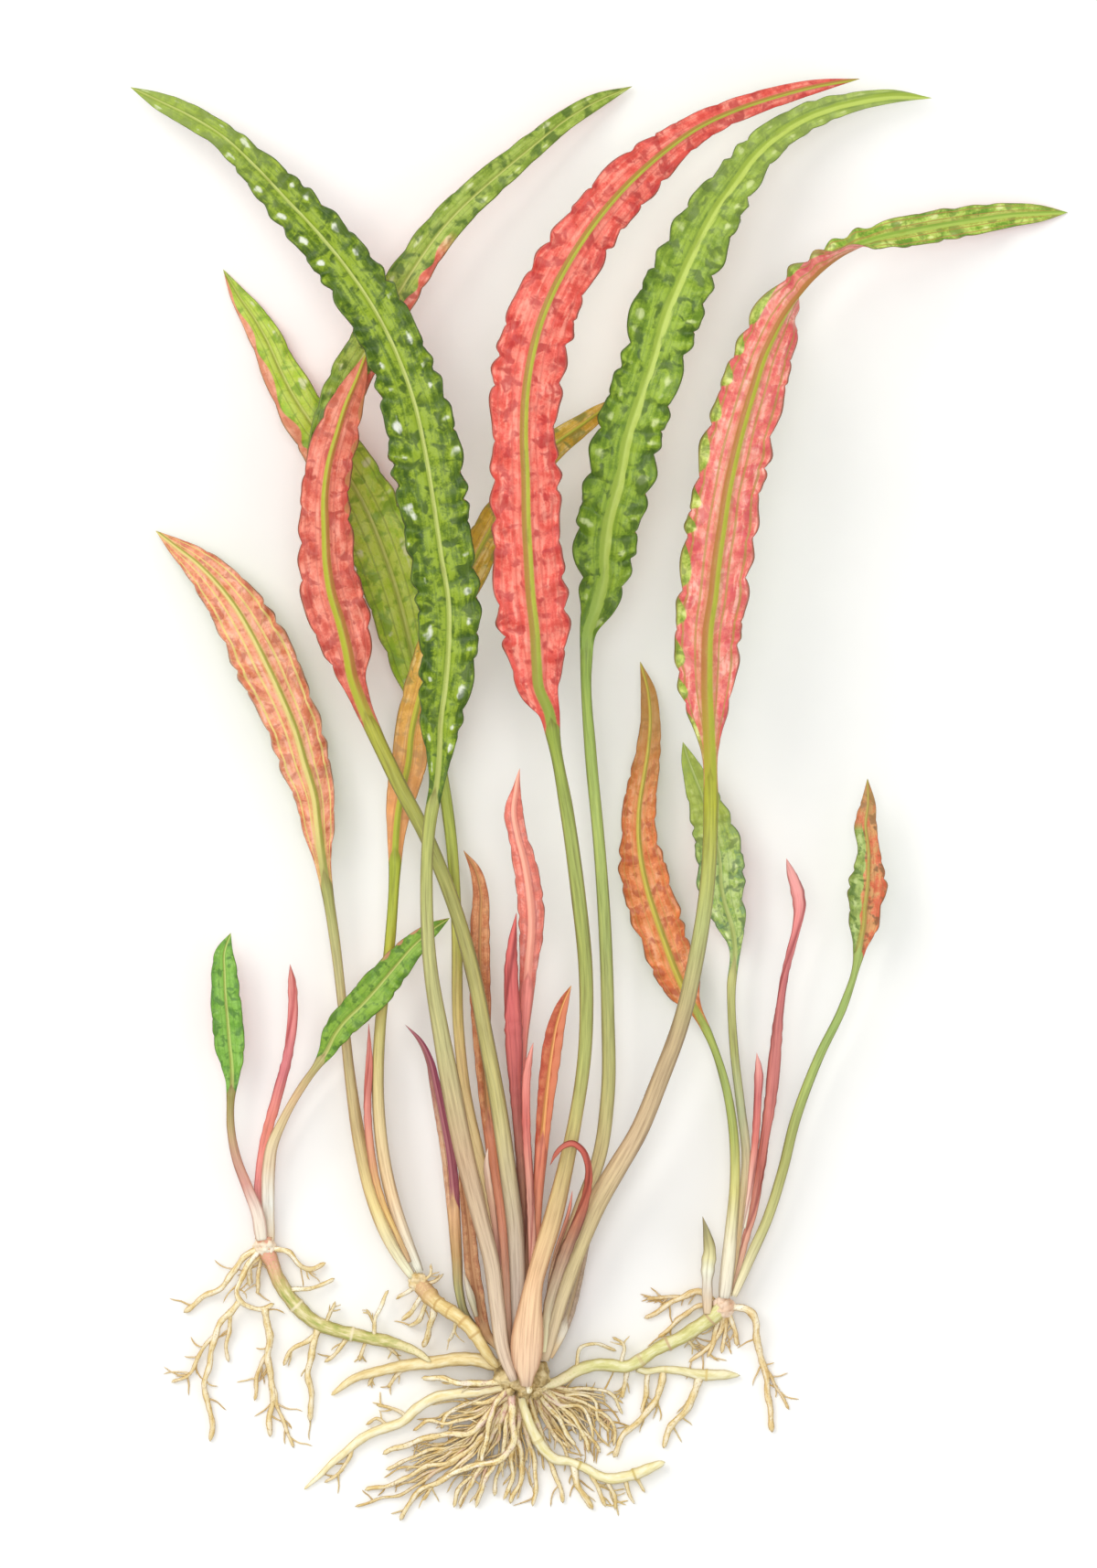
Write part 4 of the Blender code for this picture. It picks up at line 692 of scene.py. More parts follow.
plant("left_red_leaf", leaf_skin(
    stalk=[
        (-2.6, 9, 21, 2.4), (-3.4, 28, 22.5, 3), (-3.6, 45, 24.5, 3.5), (-4.4, 62, 26.2, 3.7),
        (-7.8, 89, 28.8, 3.7), (-12, 118, 31, 3.6), (-17.5, 148, 33.5, 3.4),
        (-24, 181, 36.2, 3.1), (-32.5, 209, 38.5, 3.1), (-43, 235, 40.7, 3.2),
        (-56, 260, 43, 3.3), (-66, 281, 44.8, 3.4),
    ],
    blade=[
        (-72, 295, 46, 4.2), (-75.8, 306, 47, 6.3), (-78, 318, 48, 10.6), (-81, 330, 48.5, 13),
        (-84.7, 342, 49, 13.4), (-86.8, 355, 49.2, 12.3), (-87.5, 369, 48.6, 11.6),
        (-87.8, 384, 47.6, 10.6), (-86, 399, 46.2, 10.2), (-82.5, 412, 44.4, 9.5),
        (-78.5, 425, 42.3, 7.4), (-73.5, 437, 40.2, 4.4),
    ],
    tip=(-69.5, 448, 38.2),
    roll=180,
    around=56, rings=(70, 220), wave=17, ruffle=1.6, lobe=0.085, cell=8, puff=1.0, rib=(3.7, 1.1),
    seed=14.0,
), leaf_tissue(
    "Underside of a mature leaf, warm crimson",
    under=("AC3830", "CA5444", "DC6E5A", "EA8872", "F4AC98"),
    rib=("B07A3C", "AEB030"), vein="C06050", vein_share=0.45,
    glints=0.4, stalk=("D0C0B8", "C8B69D", "C1B879", "B4AE6B", "9FA157", "ADAE41"), rim="9A6A50",
    margin=("B88050", 0.9, -1.0, 0.5, 1.0), fade=("C08458", 0.7, 1.1),
))

plant("centre_red_leaf", leaf_skin(
    stalk=[
        (0.3, -2.5, 27.5, 3), (0.3, 4, 29, 5.8), (0.5, 12, 30, 7.2), (1, 20, 30.8, 6.8),
        (2, 30, 31.5, 5.2), (3.6, 40, 32.5, 4.1), (6.3, 50, 34, 4.1), (11.5, 67, 36.8, 4.2),
        (16.7, 88, 39.5, 3.6), (21.5, 111, 42.8, 3), (25.7, 140, 48.5, 3), (26.3, 176, 56, 3.1),
        (22.8, 212, 64, 3.2), (18, 247, 71, 3), (12, 280, 76, 3.2),
    ],
    blade=[
        (10.3, 290, 77.5, 4.8), (5.8, 301, 79, 9.2), (4.8, 312, 80.5, 11.8), (4, 325, 82, 15),
        (2.3, 340, 84, 15.6), (1.2, 357, 85.5, 15), (0.3, 374, 86.5, 14.6), (0, 392, 87, 15),
        (-0.7, 410, 87, 13.6), (0.3, 431, 86, 15.5), (3, 447, 84.5, 15), (6.5, 460, 82.5, 15),
        (11.5, 472.5, 80, 13.6), (18, 485, 76.5, 13.4), (25.5, 497, 72.5, 12.6),
        (33.5, 508, 68, 11.6), (42, 518, 63, 11.6), (52, 528, 57, 10.6), (62.5, 537, 51, 8.4),
        (75, 546, 44, 6.6), (90, 553.5, 37, 5.4), (108, 560, 30, 4.6), (128, 565.5, 23.5, 3),
    ],
    tip=(147, 569, 18),
    roll=180,
    wave=17, ruffle=2.1, lobe=0.1, cell=8, puff=1.2, rib=(3.2, 1.0), seed=17.0,
), leaf_tissue(
    "Underside of a mature leaf, warm red",
    under=("B42C2C", "D44A3E", "E46052", "F0806E", "F6AC98"),
    rib=("B6BA40", "A88038"), vein="CC5A4C", vein_share=0.5,
    glints=0.45,
    stalk=("EECAAA", "EDC396", "C6B076", "B1B569", "A0A859", "A0AC5C", "8EA040"), rim="B07060",
    stalk_shade="B07850",
))

# The right pink leaf lies underside up as far as its bend, where it turns over and shows its
# green upper side to the tip. Green crimps of the upper side peep out along its left margin.

plant("right_pink_leaf", leaf_skin(
    stalk=[
        (8.5, 8, 18, 2.6), (11.3, 20, 18.3, 3.6), (14.2, 31, 19, 4.1), (18.8, 45, 21.5, 4.4),
        (25.2, 62, 26.5, 4.6), (31.5, 76, 31, 4.7), (40.5, 91.5, 36.5, 4.4),
        (48.5, 105, 40.5, 4.1), (58.5, 129, 46.3, 3.9), (68, 155, 51, 3.7),
        (74.7, 184, 55.5, 3.5), (79.2, 214, 59.5, 3.3), (80.8, 250, 63.5, 3.3),
    ],
    blade=[
        (80.3, 273, 65.8, 3.8), (79.7, 285, 66.5, 7), (79.1, 297, 67, 11.2),
        (79, 311, 67.5, 13.4), (79.5, 326, 68, 14.4), (81.7, 341, 68.5, 15), (83.3, 356, 69, 15),
        (85.5, 371, 69, 15.6), (87.8, 386, 68.5, 14.4), (91.2, 402, 67.5, 15.4),
        (95, 417, 66, 14.3), (99.5, 432, 63.5, 14.2), (104, 446, 60.5, 12.7),
        (107.3, 453.5, 58.7, 12.2), (111, 461, 56.3, 11.5), (115.5, 468.3, 53.5, 10.2),
        (120.5, 475, 50.3, 8.8), (126, 481.3, 46.8, 7.5), (132, 486.8, 43, 6.4),
        (138.5, 491.3, 39.5, 6), (145.5, 494.8, 36, 6.1), (153, 497.7, 32, 6.3),
        (161, 499.9, 28, 6.6), (170, 502, 23.5, 6.9), (185, 505, 16.5, 6.9),
        (200, 507.5, 10.5, 6.3), (215, 509.7, 5.8, 5.2), (228, 510.5, 2.8, 3.4),
    ],
    tip=(239, 511, 0.6),
    roll=180,
    twist=(170, 160, 145, 127, 107, 86, 65, 45, 27, 12, 0, 0, 0, 0, 0),
    rings=(70, 340), wave=17, ruffle=2.1, lobe=0.09, cell=8, puff=1.2, rib=(3.9, 1.1), seed=21.0,
), leaf_tissue(
    "Underside of a mature leaf, rose pink",
    upper=("3C6A14", "6E962A", "98B840", "C0D464", "EAF2A4"),
    under=("C84450", "DA5E5C", "E6786C", "F09484", "FAC0AE"),
    rib=("B0B438", "B0783C"), rib_above=("90B040", "ACC458"), vein="B08A44", vein_share=0.8,
    vein_width=0.05, blots=0.6, glints=0.7,
    stalk=("E6CFAC", "E1CE98", "D4B993", "BBA47D", "B5BB76", "ACB035"), rim="A07850",
    margin=(UPPER, 0.8, 1.0, 0.04, 0.66),
))

# The salmon leaf and the ochre leaf belong to the older side shoot on the left. They lie
# underside up, with yellow side veins in the one and coppery flesh in the other, and a small red
# spear stands between their stalks.

plant("salmon_leaf", leaf_skin(
    stalk=[
        (-51.2, 44, 12.5, 2), (-56.7, 52.5, 13, 2.7), (-62.5, 64, 14, 3.1),
        (-67.5, 78, 14.5, 3.2), (-72.3, 98, 15, 3.1), (-77.3, 130, 14.5, 2.4),
        (-80.2, 157, 13.2, 2.1), (-84, 190, 14, 2.3), (-87, 210, 15.5, 2.6),
    ],
    blade=[
        (-89.5, 226, 17, 4), (-91.2, 240, 18.5, 7.2), (-92.7, 253, 20, 8.7), (-97, 268, 22, 11),
        (-101.3, 283, 24, 11.8), (-107, 297, 25, 12.3), (-113.5, 311, 25.5, 13.8),
        (-120, 324, 25, 13), (-127.7, 337, 23.5, 11.6), (-136, 347.5, 21, 9.6),
        (-145, 356.5, 17.5, 7), (-154, 363.5, 13, 4),
    ],
    tip=(-163, 370.5, 8),
    roll=180,
    around=56, rings=(60, 200), wave=15, ruffle=1.8, lobe=0.07, cell=8, puff=1.0,
    rib=(2.6, 0.9), seed=25.0,
), leaf_tissue(
    "Underside of an old leaf, salmon with yellow veins",
    under=("B05034", "D07650", "E08C68", "EEA484", "F8CCB4"),
    rib=("A8A248", "E0D080"), vein="E0CC78", vein_share=0.85, vein_width=0.055,
    glints=0.4, stalk=("F3F3D4", "EFDA97", "C6AF7C", "C5B683", "C1BC85", "A7A963"), rim="E8C0A0",
    patch=5.0, blots=0.6, stalk_shade="C08868",
))

plant("ochre_leaf", leaf_skin(
    stalk=[
        (-47.6, 46.7, 14.2, 2), (-52, 57, 15.5, 2.7), (-56.5, 69.5, 16.7, 2.9),
        (-62, 92, 18, 2.8), (-64.8, 118, 18.5, 2.7), (-64, 152, 19.5, 2.5),
        (-59.8, 188, 21.5, 2.4), (-57.5, 222, 24, 2.7),
    ],
    blade=[
        (-57, 235, 25, 3.8), (-56, 246, 26, 5.3), (-54.2, 256, 26.5, 6.8), (-51.5, 268, 27.5, 8),
        (-50, 282, 28.5, 7.3), (-46.5, 297, 30, 7.8), (-41, 314, 32, 8.3),
        (-32.5, 336, 34.7, 8.5), (-23, 356, 36.5, 8), (-12, 376, 37.5, 7.3), (1, 395, 37.2, 6.7),
        (13, 408, 36, 6), (23.5, 415.5, 35, 4.8), (33, 422.5, 33, 3.3),
    ],
    tip=(42, 429, 31),
    roll=180,
    around=48, rings=(60, 240), wave=17, ruffle=1.4, lobe=0.06, cell=7, puff=0.8,
    rib=(2.0, 0.8), seed=28.0,
), leaf_tissue(
    "Underside of an old leaf, ochre and copper",
    under=("82883C", "C09D27", "CAA42E", "DFBA4F", "F3F3BF"),
    rib=("A0A034", "BCBC3C"), vein="A87838", vein_share=0.4,
    glints=0.3, stalk=("F3F3E1", "F0D1A5", "DDC894", "CDC67A", "ACB23D", "A6B33C"), rim="C09050",
    fade=("EC9A6C", 0.42, 0.12),
))

plant("offset_red_spear", leaf_skin(
    stalk=[
        (-52, 51, 18.3, 1), (-57, 62, 19.5, 1.3), (-62, 73, 20.3, 1.5), (-66, 86, 20.5, 1.7),
        (-68.2, 99, 20.5, 1.8), (-69.6, 116, 20.5, 1.8), (-68.8, 138, 20.5, 1.5),
    ],
    tip=(-69, 154, 20.5),
    around=28, rings=(110, 0), seed=30.0,
), leaf_tissue(
    "Rolled young leaf, coral red",
    rib=("F08078", "F08078"), vein="C84848",
    stalk=("CAA982", "E4BE73", "D7A071", "D7887A", "D87F73", "ECA094"), stalk_shade="C08070",
))

# The young leaves in the heart of the main plant are narrow and still partly rolled. They stand
# close together between the stalks, and one dark red one has bent over to a hook.

plant("young_pink_leaf", leaf_skin(
    stalk=[
        (-2.3, 9, 13, 1.8), (-1.8, 50, 13.5, 2), (-1.9, 75, 17, 2), (-2.4, 100, 21.5, 2.1),
        (-2.5, 125, 27, 2.2), (-1.5, 148, 32, 2.6), (0.2, 165, 36, 3.2),
    ],
    blade=[
        (1.3, 180, 39.5, 4), (2.6, 196, 43, 5.5), (1.6, 212, 46.5, 5.6), (-0.8, 226, 49, 5),
        (-3.6, 237, 50.5, 4), (-5.2, 247, 51.5, 4.2), (-4, 257, 52, 1.8),
    ],
    tip=(-2.6, 266, 52),
    roll=180,
    around=40, rings=(80, 110), wave=10, ruffle=0.8, lobe=0.12, cell=5, puff=0.4,
    rib=(2.4, 1.2), seed=31.0,
), leaf_tissue(
    "Underside of a half-grown leaf, pink",
    under=("BB6053", "D87361", "EC8170", "F29785", "F1B0A9"),
    rib=("F09A86", "FBB49C"), vein="C8645C", vein_share=0.4, blots=0.5, glints=0.5,
    stalk=("F3CEBA", "E79B85", "D78A7D", "EC8A80", "F39187"), rim="B0685C", patch=4.0,
))

plant("young_crimson_leaf", leaf_skin(
    stalk=[
        (0.4, 9, 17, 1.5), (0.4, 50, 17.8, 1.9), (-1.3, 82, 22.5, 2.1), (-2.8, 102, 26.5, 2.3),
        (-4.2, 124, 32, 2.8), (-5.2, 150, 38.5, 3.9), (-6.2, 165, 42, 3.8),
        (-6.5, 178, 44.5, 3.1), (-5.8, 190, 46.5, 2),
    ],
    tip=(-4, 203, 48.5),
    around=32, rings=(150, 0), seed=33.0,
), leaf_tissue(
    "Rolled young leaf, crimson",
    rib=("A8283C", "A8283C"), vein="701828",
    stalk=("CFAD84", "BE9172", "AE7A66", "B5605C", "D46765", "DA6460"), stalk_shade="8A4048",
))

plant("young_brown_leaf", leaf_skin(
    stalk=[
        (-8, 9, 19.3, 1.6), (-8.3, 42, 19.3, 2), (-9.6, 58, 20, 2.2), (-11.6, 75, 21.5, 2.5),
        (-14.5, 97, 23, 2.9),
    ],
    blade=[
        (-17.3, 123, 24.5, 3.5), (-19.2, 150, 25.8, 4.2), (-20, 168, 27, 4.6),
        (-20.2, 185, 28.5, 4.5), (-20, 200, 30.5, 4.1), (-19.8, 211, 32.5, 3.4),
        (-22, 221, 34.5, 2.4),
    ],
    tip=(-27.3, 230, 36.5),
    around=40, rings=(60, 120), wave=11, ruffle=0.6, lobe=0.09, cell=5, puff=0.4,
    rib=(1.4, 0.5), seed=35.0,
), leaf_tissue(
    "Upper side of a young leaf, brown and orange",
    upper=("94482C", "B86C44", "CC8052", "DC9C6C", "E8B888"),
    rib=("A87850", "C8945C"), vein="9A5A3C", vein_share=0.4, blots=0.35,
    glints=0.2,
    stalk=("ECC6AB", "EFBA9B", "F3A483", "DE8C68"), rim="8A5438", patch=4.0,
))

plant("young_orange_leaf", leaf_skin(
    stalk=[(4.2, 9, 19.5, 1.5), (4.3, 48, 21.3, 1.9), (5.3, 78, 27.5, 2.3), (6.5, 94, 31, 2.8)],
    blade=[
        (7.8, 110, 34.5, 3.3), (9.4, 126, 38, 3.9), (11.3, 141, 41, 4.3), (13.6, 154, 43.5, 3.7),
        (16.8, 164, 45.5, 2.2),
    ],
    tip=(20, 171, 46.5),
    around=40, rings=(60, 90), wave=10, ruffle=0.6, lobe=0.09, cell=5, puff=0.4,
    rib=(1.3, 0.5), seed=37.0,
), leaf_tissue(
    "Upper side of a young leaf, orange",
    upper=("9C3C28", "B44C34", "C45C40", "D07450", "E09C70"),
    rib=("C88848", "E8A868"), vein="B4603C", vein_share=0.4, blots=0.35,
    glints=0.2,
    stalk=("F3E1BA", "F3C7A4", "F3A483", "DD8066"), rim="A86040", patch=4.0,
    margin=("DC8460", 0.25, 1.0, 0.0, 0.95),
))

plant("purple_leaf", leaf_skin(
    stalk=[
        (-12.5, 12, 15.5, 1.6), (-20, 17.5, 13, 1.7), (-26.3, 25, 12, 1.8), (-29.2, 35, 12, 2),
        (-30.3, 50, 12.5, 2.4), (-31.5, 68, 14.3, 2.8),
    ],
    blade=[
        (-32.5, 82, 16.5, 3.2), (-34.3, 98, 19.5, 3.2), (-37, 113, 22.5, 2.9),
        (-39.8, 127, 25, 2.4), (-42.3, 138, 26.5, 1.7), (-46.5, 146.5, 27.5, 1.1),
    ],
    tip=(-53, 153.5, 28),
    around=40, rings=(70, 90), wave=11, ruffle=0.6, lobe=0.08, cell=5, puff=0.4,
    rib=(1.3, 0.5), seed=39.0,
), leaf_tissue(
    "Upper side of a young leaf, plum on its right half and at the tip",
    upper=("B88858", "CC9C7C", "DCAC84", "E4BC98", "ECCCAC"),
    rib=("A86070", "B07074"), vein="7A2C40", vein_share=0.4, blots=0.2, glints=0.1,
    stalk=("867A60", "807759", "ACAD77", "C4A16C", "DFB283"), rim="64223A", patch=4.0,
    margin=("84324C", 0.12, 1.0, 0.0, 1.0), fade=("7E3450", 0.35, 0.75),
))

plant("hooked_leaf", leaf_skin(
    stalk=[
        (8, 12, 23.3, 1.6), (8.8, 22, 24.6, 1.9), (10.8, 33, 26, 2.4), (14, 44, 28, 2.7),
        (18, 55, 31, 2.8), (22, 65, 34.5, 2.6), (25.4, 75, 38, 2.2), (27.4, 85, 42, 1.8),
        (27, 93.5, 45.5, 1.6), (24.3, 99.3, 47.7, 1.5), (20.3, 101.8, 48.5, 1.4),
        (16, 100.2, 48.3, 1.2), (12.8, 96.5, 47.5, 0.9),
    ],
    tip=(10.6, 92, 46.5),
    around=28, rings=(130, 0), seed=41.0,
), leaf_tissue(
    "Rolled leaf that has bent over, dark red",
    rib=("A83030", "A83030"), vein="701818",
    stalk=("F3EDBD", "CFC09F", "BA9C82", "A76E57", "C4644E", "C55D51", "BE6853"),
    stalk_shade="8A4840",
))

plant("small_pink_spear", leaf_skin(
    stalk=[
        (1.6, 9, 22.6, 1.1), (2.9, 48, 26.2, 1.6), (2.6, 64, 28.5, 1.8), (1.8, 82, 31.5, 1.8),
        (0.2, 116, 37, 2), (0.5, 130, 39, 1.9), (1.8, 139, 40.5, 1.3),
    ],
    tip=(3.4, 146, 41.5),
    around=28, rings=(110, 0), seed=43.0,
), leaf_tissue(
    "Rolled young leaf, rose",
    rib=("E07878", "E07878"), vein="B04858",
    stalk=("F3EFC3", "F3B9A2", "D19887", "DD756C", "F2A092"), stalk_shade="A85858",
))

plant("small_red_spear", leaf_skin(
    stalk=[
        (8.6, 26, 21.3, 0.7), (10, 38, 23, 0.8), (12, 49, 26, 0.9), (14.3, 57, 29.5, 1),
        (17, 65, 33, 1), (19.2, 73, 36, 0.8),
    ],
    tip=(20.5, 81, 38),
    around=20, rings=(70, 0), seed=45.0,
), leaf_tissue(
    "Rolled young leaf, brick red",
    rib=("D85050", "D85050"), vein="A03030",
    stalk=("F3F3D9", "F3D3AF", "F3AF91", "F3917E"),
))

plant("small_salmon_spear", leaf_skin(
    stalk=[
        (-11.3, 36, 23.3, 0.8), (-12, 50, 24, 1.1), (-13.2, 62, 25.3, 1.4), (-14.8, 74, 27, 1.7),
        (-16.4, 85, 28.5, 1.7), (-17.2, 93, 29.5, 1.1),
    ],
    tip=(-16.6, 99.5, 30),
    around=24, rings=(80, 0), seed=47.0,
), leaf_tissue(
    "Rolled young leaf, salmon",
    rib=("E89078", "E89078"), vein="B85848",
    stalk=("C79883", "D19483", "D9AC8E", "F3D7C2"),
))

# Old leaf bases clasp the rhizome: a brown one and a pale membrane on the left, and a greyish
# violet one on the right. They are dry at the edges and run out to a ragged point.

plant("left_sheath", leaf_skin(
    stalk=[(-12.8, 12, 20, 1.6), (-17, 17, 20.5, 2.2)],
    blade=[
        (-20, 26, 21, 3), (-22, 37, 21.5, 3.4), (-23.8, 49, 22, 3.3), (-24.8, 61, 22.5, 3),
        (-26.2, 73, 23.5, 2.4), (-28, 84, 24.5, 1.4),
    ],
    tip=(-29.6, 93, 25),
    around=36, rings=(20, 90), wave=9, ruffle=0.6, lobe=0.12, cell=5, puff=0.3,
    rib=(1.2, 0.5), seed=49.0,
), leaf_tissue(
    "Old leaf base, brown and dry",
    upper=("8A5A3C", "A87050", "BC845C", "CC9C70", "DCB488"),
    rib=("A87450", "B88860"), vein="8A5438", vein_share=0.5, blots=0.35,
    glints=0.1,
    stalk=("E4CCA0", "DCBC90", "C89C70"), rim="8A5840", patch=4.0, gloss=0.55,
))

plant("right_sheath", leaf_skin(
    stalk=[(11.5, 9, 13.5, 1.7), (15.3, 17, 13, 2.4)],
    blade=[(18.8, 27, 13, 2.8), (21.8, 38, 13, 2.6), (24.6, 49, 13.5, 2), (27, 57, 14, 1.2)],
    tip=(29.3, 63.5, 14.5),
    around=36, rings=(20, 70), wave=9, ruffle=0.6, lobe=0.12, cell=5, puff=0.3,
    rib=(1.2, 0.5), seed=51.0,
), leaf_tissue(
    "Old leaf base, greyish violet",
    upper=("8C7A68", "AC9684", "BCA48C", "CCB49C", "DCC8B4"),
    rib=("B09C7C", "C8B08C"), vein="8A7458", vein_share=0.5, blots=0.35,
    glints=0.15,
    stalk=("F3D0A0", "F3DAAE", "F3EAD4"), rim="8A7458", patch=4.0, gloss=0.55,
))

plant("pale_scale", leaf_skin(
    stalk=[(-22.3, 27.5, 25.4, 1.2), (-24, 34, 25.5, 1.7), (-25.8, 40, 25.4, 1.1)],
    tip=(-27.2, 45, 25.2),
    around=24, rings=(50, 0), seed=53.0,
), leaf_tissue(
    "Membrane of an old leaf base, whitish",
    rib=("D8D4C8", "D8D4C8"), vein="A89C8C",
    stalk=("AC9D7F", "BBB396", "CDC2AD", "C1AD90"), gloss=0.55,
))

# The young plant on the left runner has two green leaves, one of which leans far over to the
# right, and a rolled red leaf between them.

plant("left_plantlet_green_leaf", leaf_skin(
    stalk=[
        (-116.6, 60.8, 11, 2.8), (-117.8, 69, 12.2, 2.8), (-122.3, 81, 12.8, 2.4),
        (-127.2, 94, 13, 2.1), (-129.8, 108, 13.2, 1.8), (-129.8, 121, 13.5, 1.9),
    ],
    blade=[
        (-129.2, 129, 14, 3), (-129.4, 136, 14.3, 5), (-130.3, 145, 14.7, 6.6),
        (-131.1, 155, 15, 6.8), (-132.1, 166, 15, 6.4), (-132.5, 176, 14.5, 5.7),
        (-132.6, 185, 13.5, 4),
    ],
    tip=(-129.8, 193.5, 12),
    around=48, rings=(70, 120), wave=11, ruffle=1.1, lobe=0.07, cell=6, puff=0.6,
    rib=(1.2, 0.5), seed=55.0,
), leaf_tissue(
    "Upper side of a young leaf, fresh green",
    upper=("447428", "669C32", "76AA3A", "86B84A", "B0D48C"),
    rib=("98A448", "B0C468"), vein="6A9038", vein_share=0.35,
    glints=0.2,
    stalk=("F0E6D2", "F1DFCF", "D19789", "C2967E", "AB9667", "968D4D"), rim="6A8844", patch=4.0,
    stalk_shade="C07868",
))

plant("left_plantlet_leaning_leaf", leaf_skin(
    stalk=[
        (-112.8, 60, 7.3, 2.2), (-113.3, 69, 8, 2.6), (-113.5, 79, 10, 2.9),
        (-113.2, 89, 12.5, 2.9), (-111.8, 99, 14.8, 2.6), (-106.8, 111, 17.8, 2),
        (-98.3, 126, 21.8, 1.8), (-91.2, 136, 24.8, 2),
    ],
    blade=[
        (-87.3, 142, 26.5, 3.6), (-83.8, 149, 28, 5.6), (-79, 155.3, 29.3, 6.5),
        (-72.5, 161.5, 30.5, 7.2), (-66.5, 168, 31.3, 7.8), (-61, 174.5, 31.8, 7.2),
        (-55.5, 181, 32, 6.4), (-50, 187.3, 31.8, 5.4), (-45, 192, 31.3, 4.2),
        (-39.5, 196.3, 30.5, 2.7),
    ],
    tip=(-33.2, 200.3, 29.3),
    around=48, rings=(90, 140), wave=11, ruffle=1.2, lobe=0.07, cell=6, puff=0.6,
    rib=(1.2, 0.5), seed=57.0,
), leaf_tissue(
    "Upper side of a young leaf, grass green",
    upper=("48701E", "6A962A", "7AA232", "8AB03C", "B4CC70"),
    rib=("98A444", "B0BC60"), vein="6A8434", vein_share=0.35,
    glints=0.2,
    stalk=("E5D2B1", "F3F3E8", "E7D1B1", "DAC697", "DBB98C", "BBB274"), rim="7A8448", patch=4.0,
    margin=("C88868", 0.88, -1.0, 0.6, 1.0), stalk_shade="B08860",
))

plant("left_plantlet_red_leaf", leaf_skin(
    stalk=[
        (-115.2, 61.3, 4, 1.4), (-116.5, 70, 4.5, 1.7), (-117.8, 80, 6, 1.9), (-117, 90, 7.5, 2),
        (-115, 101, 9.3, 2.2), (-109.5, 121, 13, 2.4), (-104.5, 141, 16.5, 2.3),
        (-102.4, 160, 19, 2.2), (-102.8, 172, 19.8, 1.8),
    ],
    tip=(-103.6, 180, 20),
    around=32, rings=(160, 0), seed=59.0,
), leaf_tissue(
    "Rolled young leaf of the left plantlet, rose red",
    rib=("D85864", "D85864"), vein="A03848",
    stalk=("F3CCC5", "F19794", "F39684", "D4787D", "E38787", "DB8D80"), stalk_shade="C06868",
))

# The young plant on the right runner has an orange leaf with its underside up, a coarsely bumpy
# bluish green leaf, a leaf that is green on one half and coppery on the other, two rolled red
# leaves and a pale pointed shoot.

plant("right_plantlet_orange_leaf", leaf_skin(
    stalk=[
        (87.6, 35.3, 13, 2.8), (88.7, 45, 13.2, 3.1), (90.3, 62, 13.8, 2.8), (92, 84, 14.5, 2.3),
        (91.5, 104, 15, 2.1), (87.5, 128, 15.7, 1.9), (80.5, 148.5, 16, 1.9),
    ],
    blade=[
        (74, 161, 16.5, 3.4), (69.5, 169, 17, 7.8), (65, 179, 17.5, 9.5), (61, 190, 18, 10),
        (57.5, 200, 18.5, 10.8), (54, 211, 19, 10.6), (51.2, 223, 19, 10.2),
        (49.7, 236, 18.5, 7.8), (50, 249, 18, 7.3), (52, 262, 17.5, 6.3), (54, 275, 17, 5.3),
        (54.8, 288, 16, 4.3), (53.8, 300, 14.5, 3.3),
    ],
    tip=(50.3, 313, 12.5),
    roll=180,
    around=56, rings=(80, 200), wave=12, ruffle=1.8, lobe=0.09, cell=6.5, puff=1.0,
    rib=(2.2, 0.7), seed=61.0,
), leaf_tissue(
    "Underside of a plantlet leaf, orange",
    under=("B4542F", "D0703C", "E08048", "EA9862", "F4BC98"),
    rib=("A8963C", "CCBC50"), vein="C89850", vein_share=0.5,
    glints=0.45,
    stalk=("E9E1CD", "F0E8CA", "D8D284", "AEB760", "A5B664", "A3B157"), rim="B88050", patch=5.0,
    fade=("A48440", 0.6, 0.85),
))

plant("right_plantlet_bumpy_leaf", leaf_skin(
    stalk=[
        (89.8, 36, 5.8, 1.6), (92, 50, 5.3, 1.7), (94.2, 66, 6.3, 1.8), (96, 80, 7.3, 1.9),
        (97, 95, 8.5, 2), (94.5, 118, 10, 2), (91.7, 142, 11.5, 1.9), (90.5, 170, 13, 2),
    ],
    blade=[
        (92, 188, 14, 3), (90.5, 197, 14.5, 6.3), (88, 205, 15, 8.5), (86, 214, 15.5, 10),
        (85.5, 224, 16, 10.3), (84, 234, 16.5, 9.8), (81, 244, 17, 8.5), (77.5, 254, 18, 6.8),
        (74, 263, 19, 4.9), (71, 271, 20, 2.8),
    ],
    tip=(69, 277.5, 21),
    around=56, rings=(80, 150), wave=11, ruffle=1.2, lobe=0.1, cell=5.5, puff=1.8,
    rib=(1.5, 0.5), seed=63.0,
), leaf_tissue(
    "Upper side of a plantlet leaf, bluish green",
    upper=("637A4D", "81A06D", "A3BD5B", "BBCE80", "E9F3B5"),
    rib=("A0AC60", "B0BC70"), vein="6A8C50", vein_share=0.35,
    stalk=("F3E5B8", "F3DEAD", "EDDEB3", "BFC89D", "B2B56C", "BCBD76"), rim="6A8C54", patch=4.0,
    fade=("A4B040", 0.5, 0.7),
))

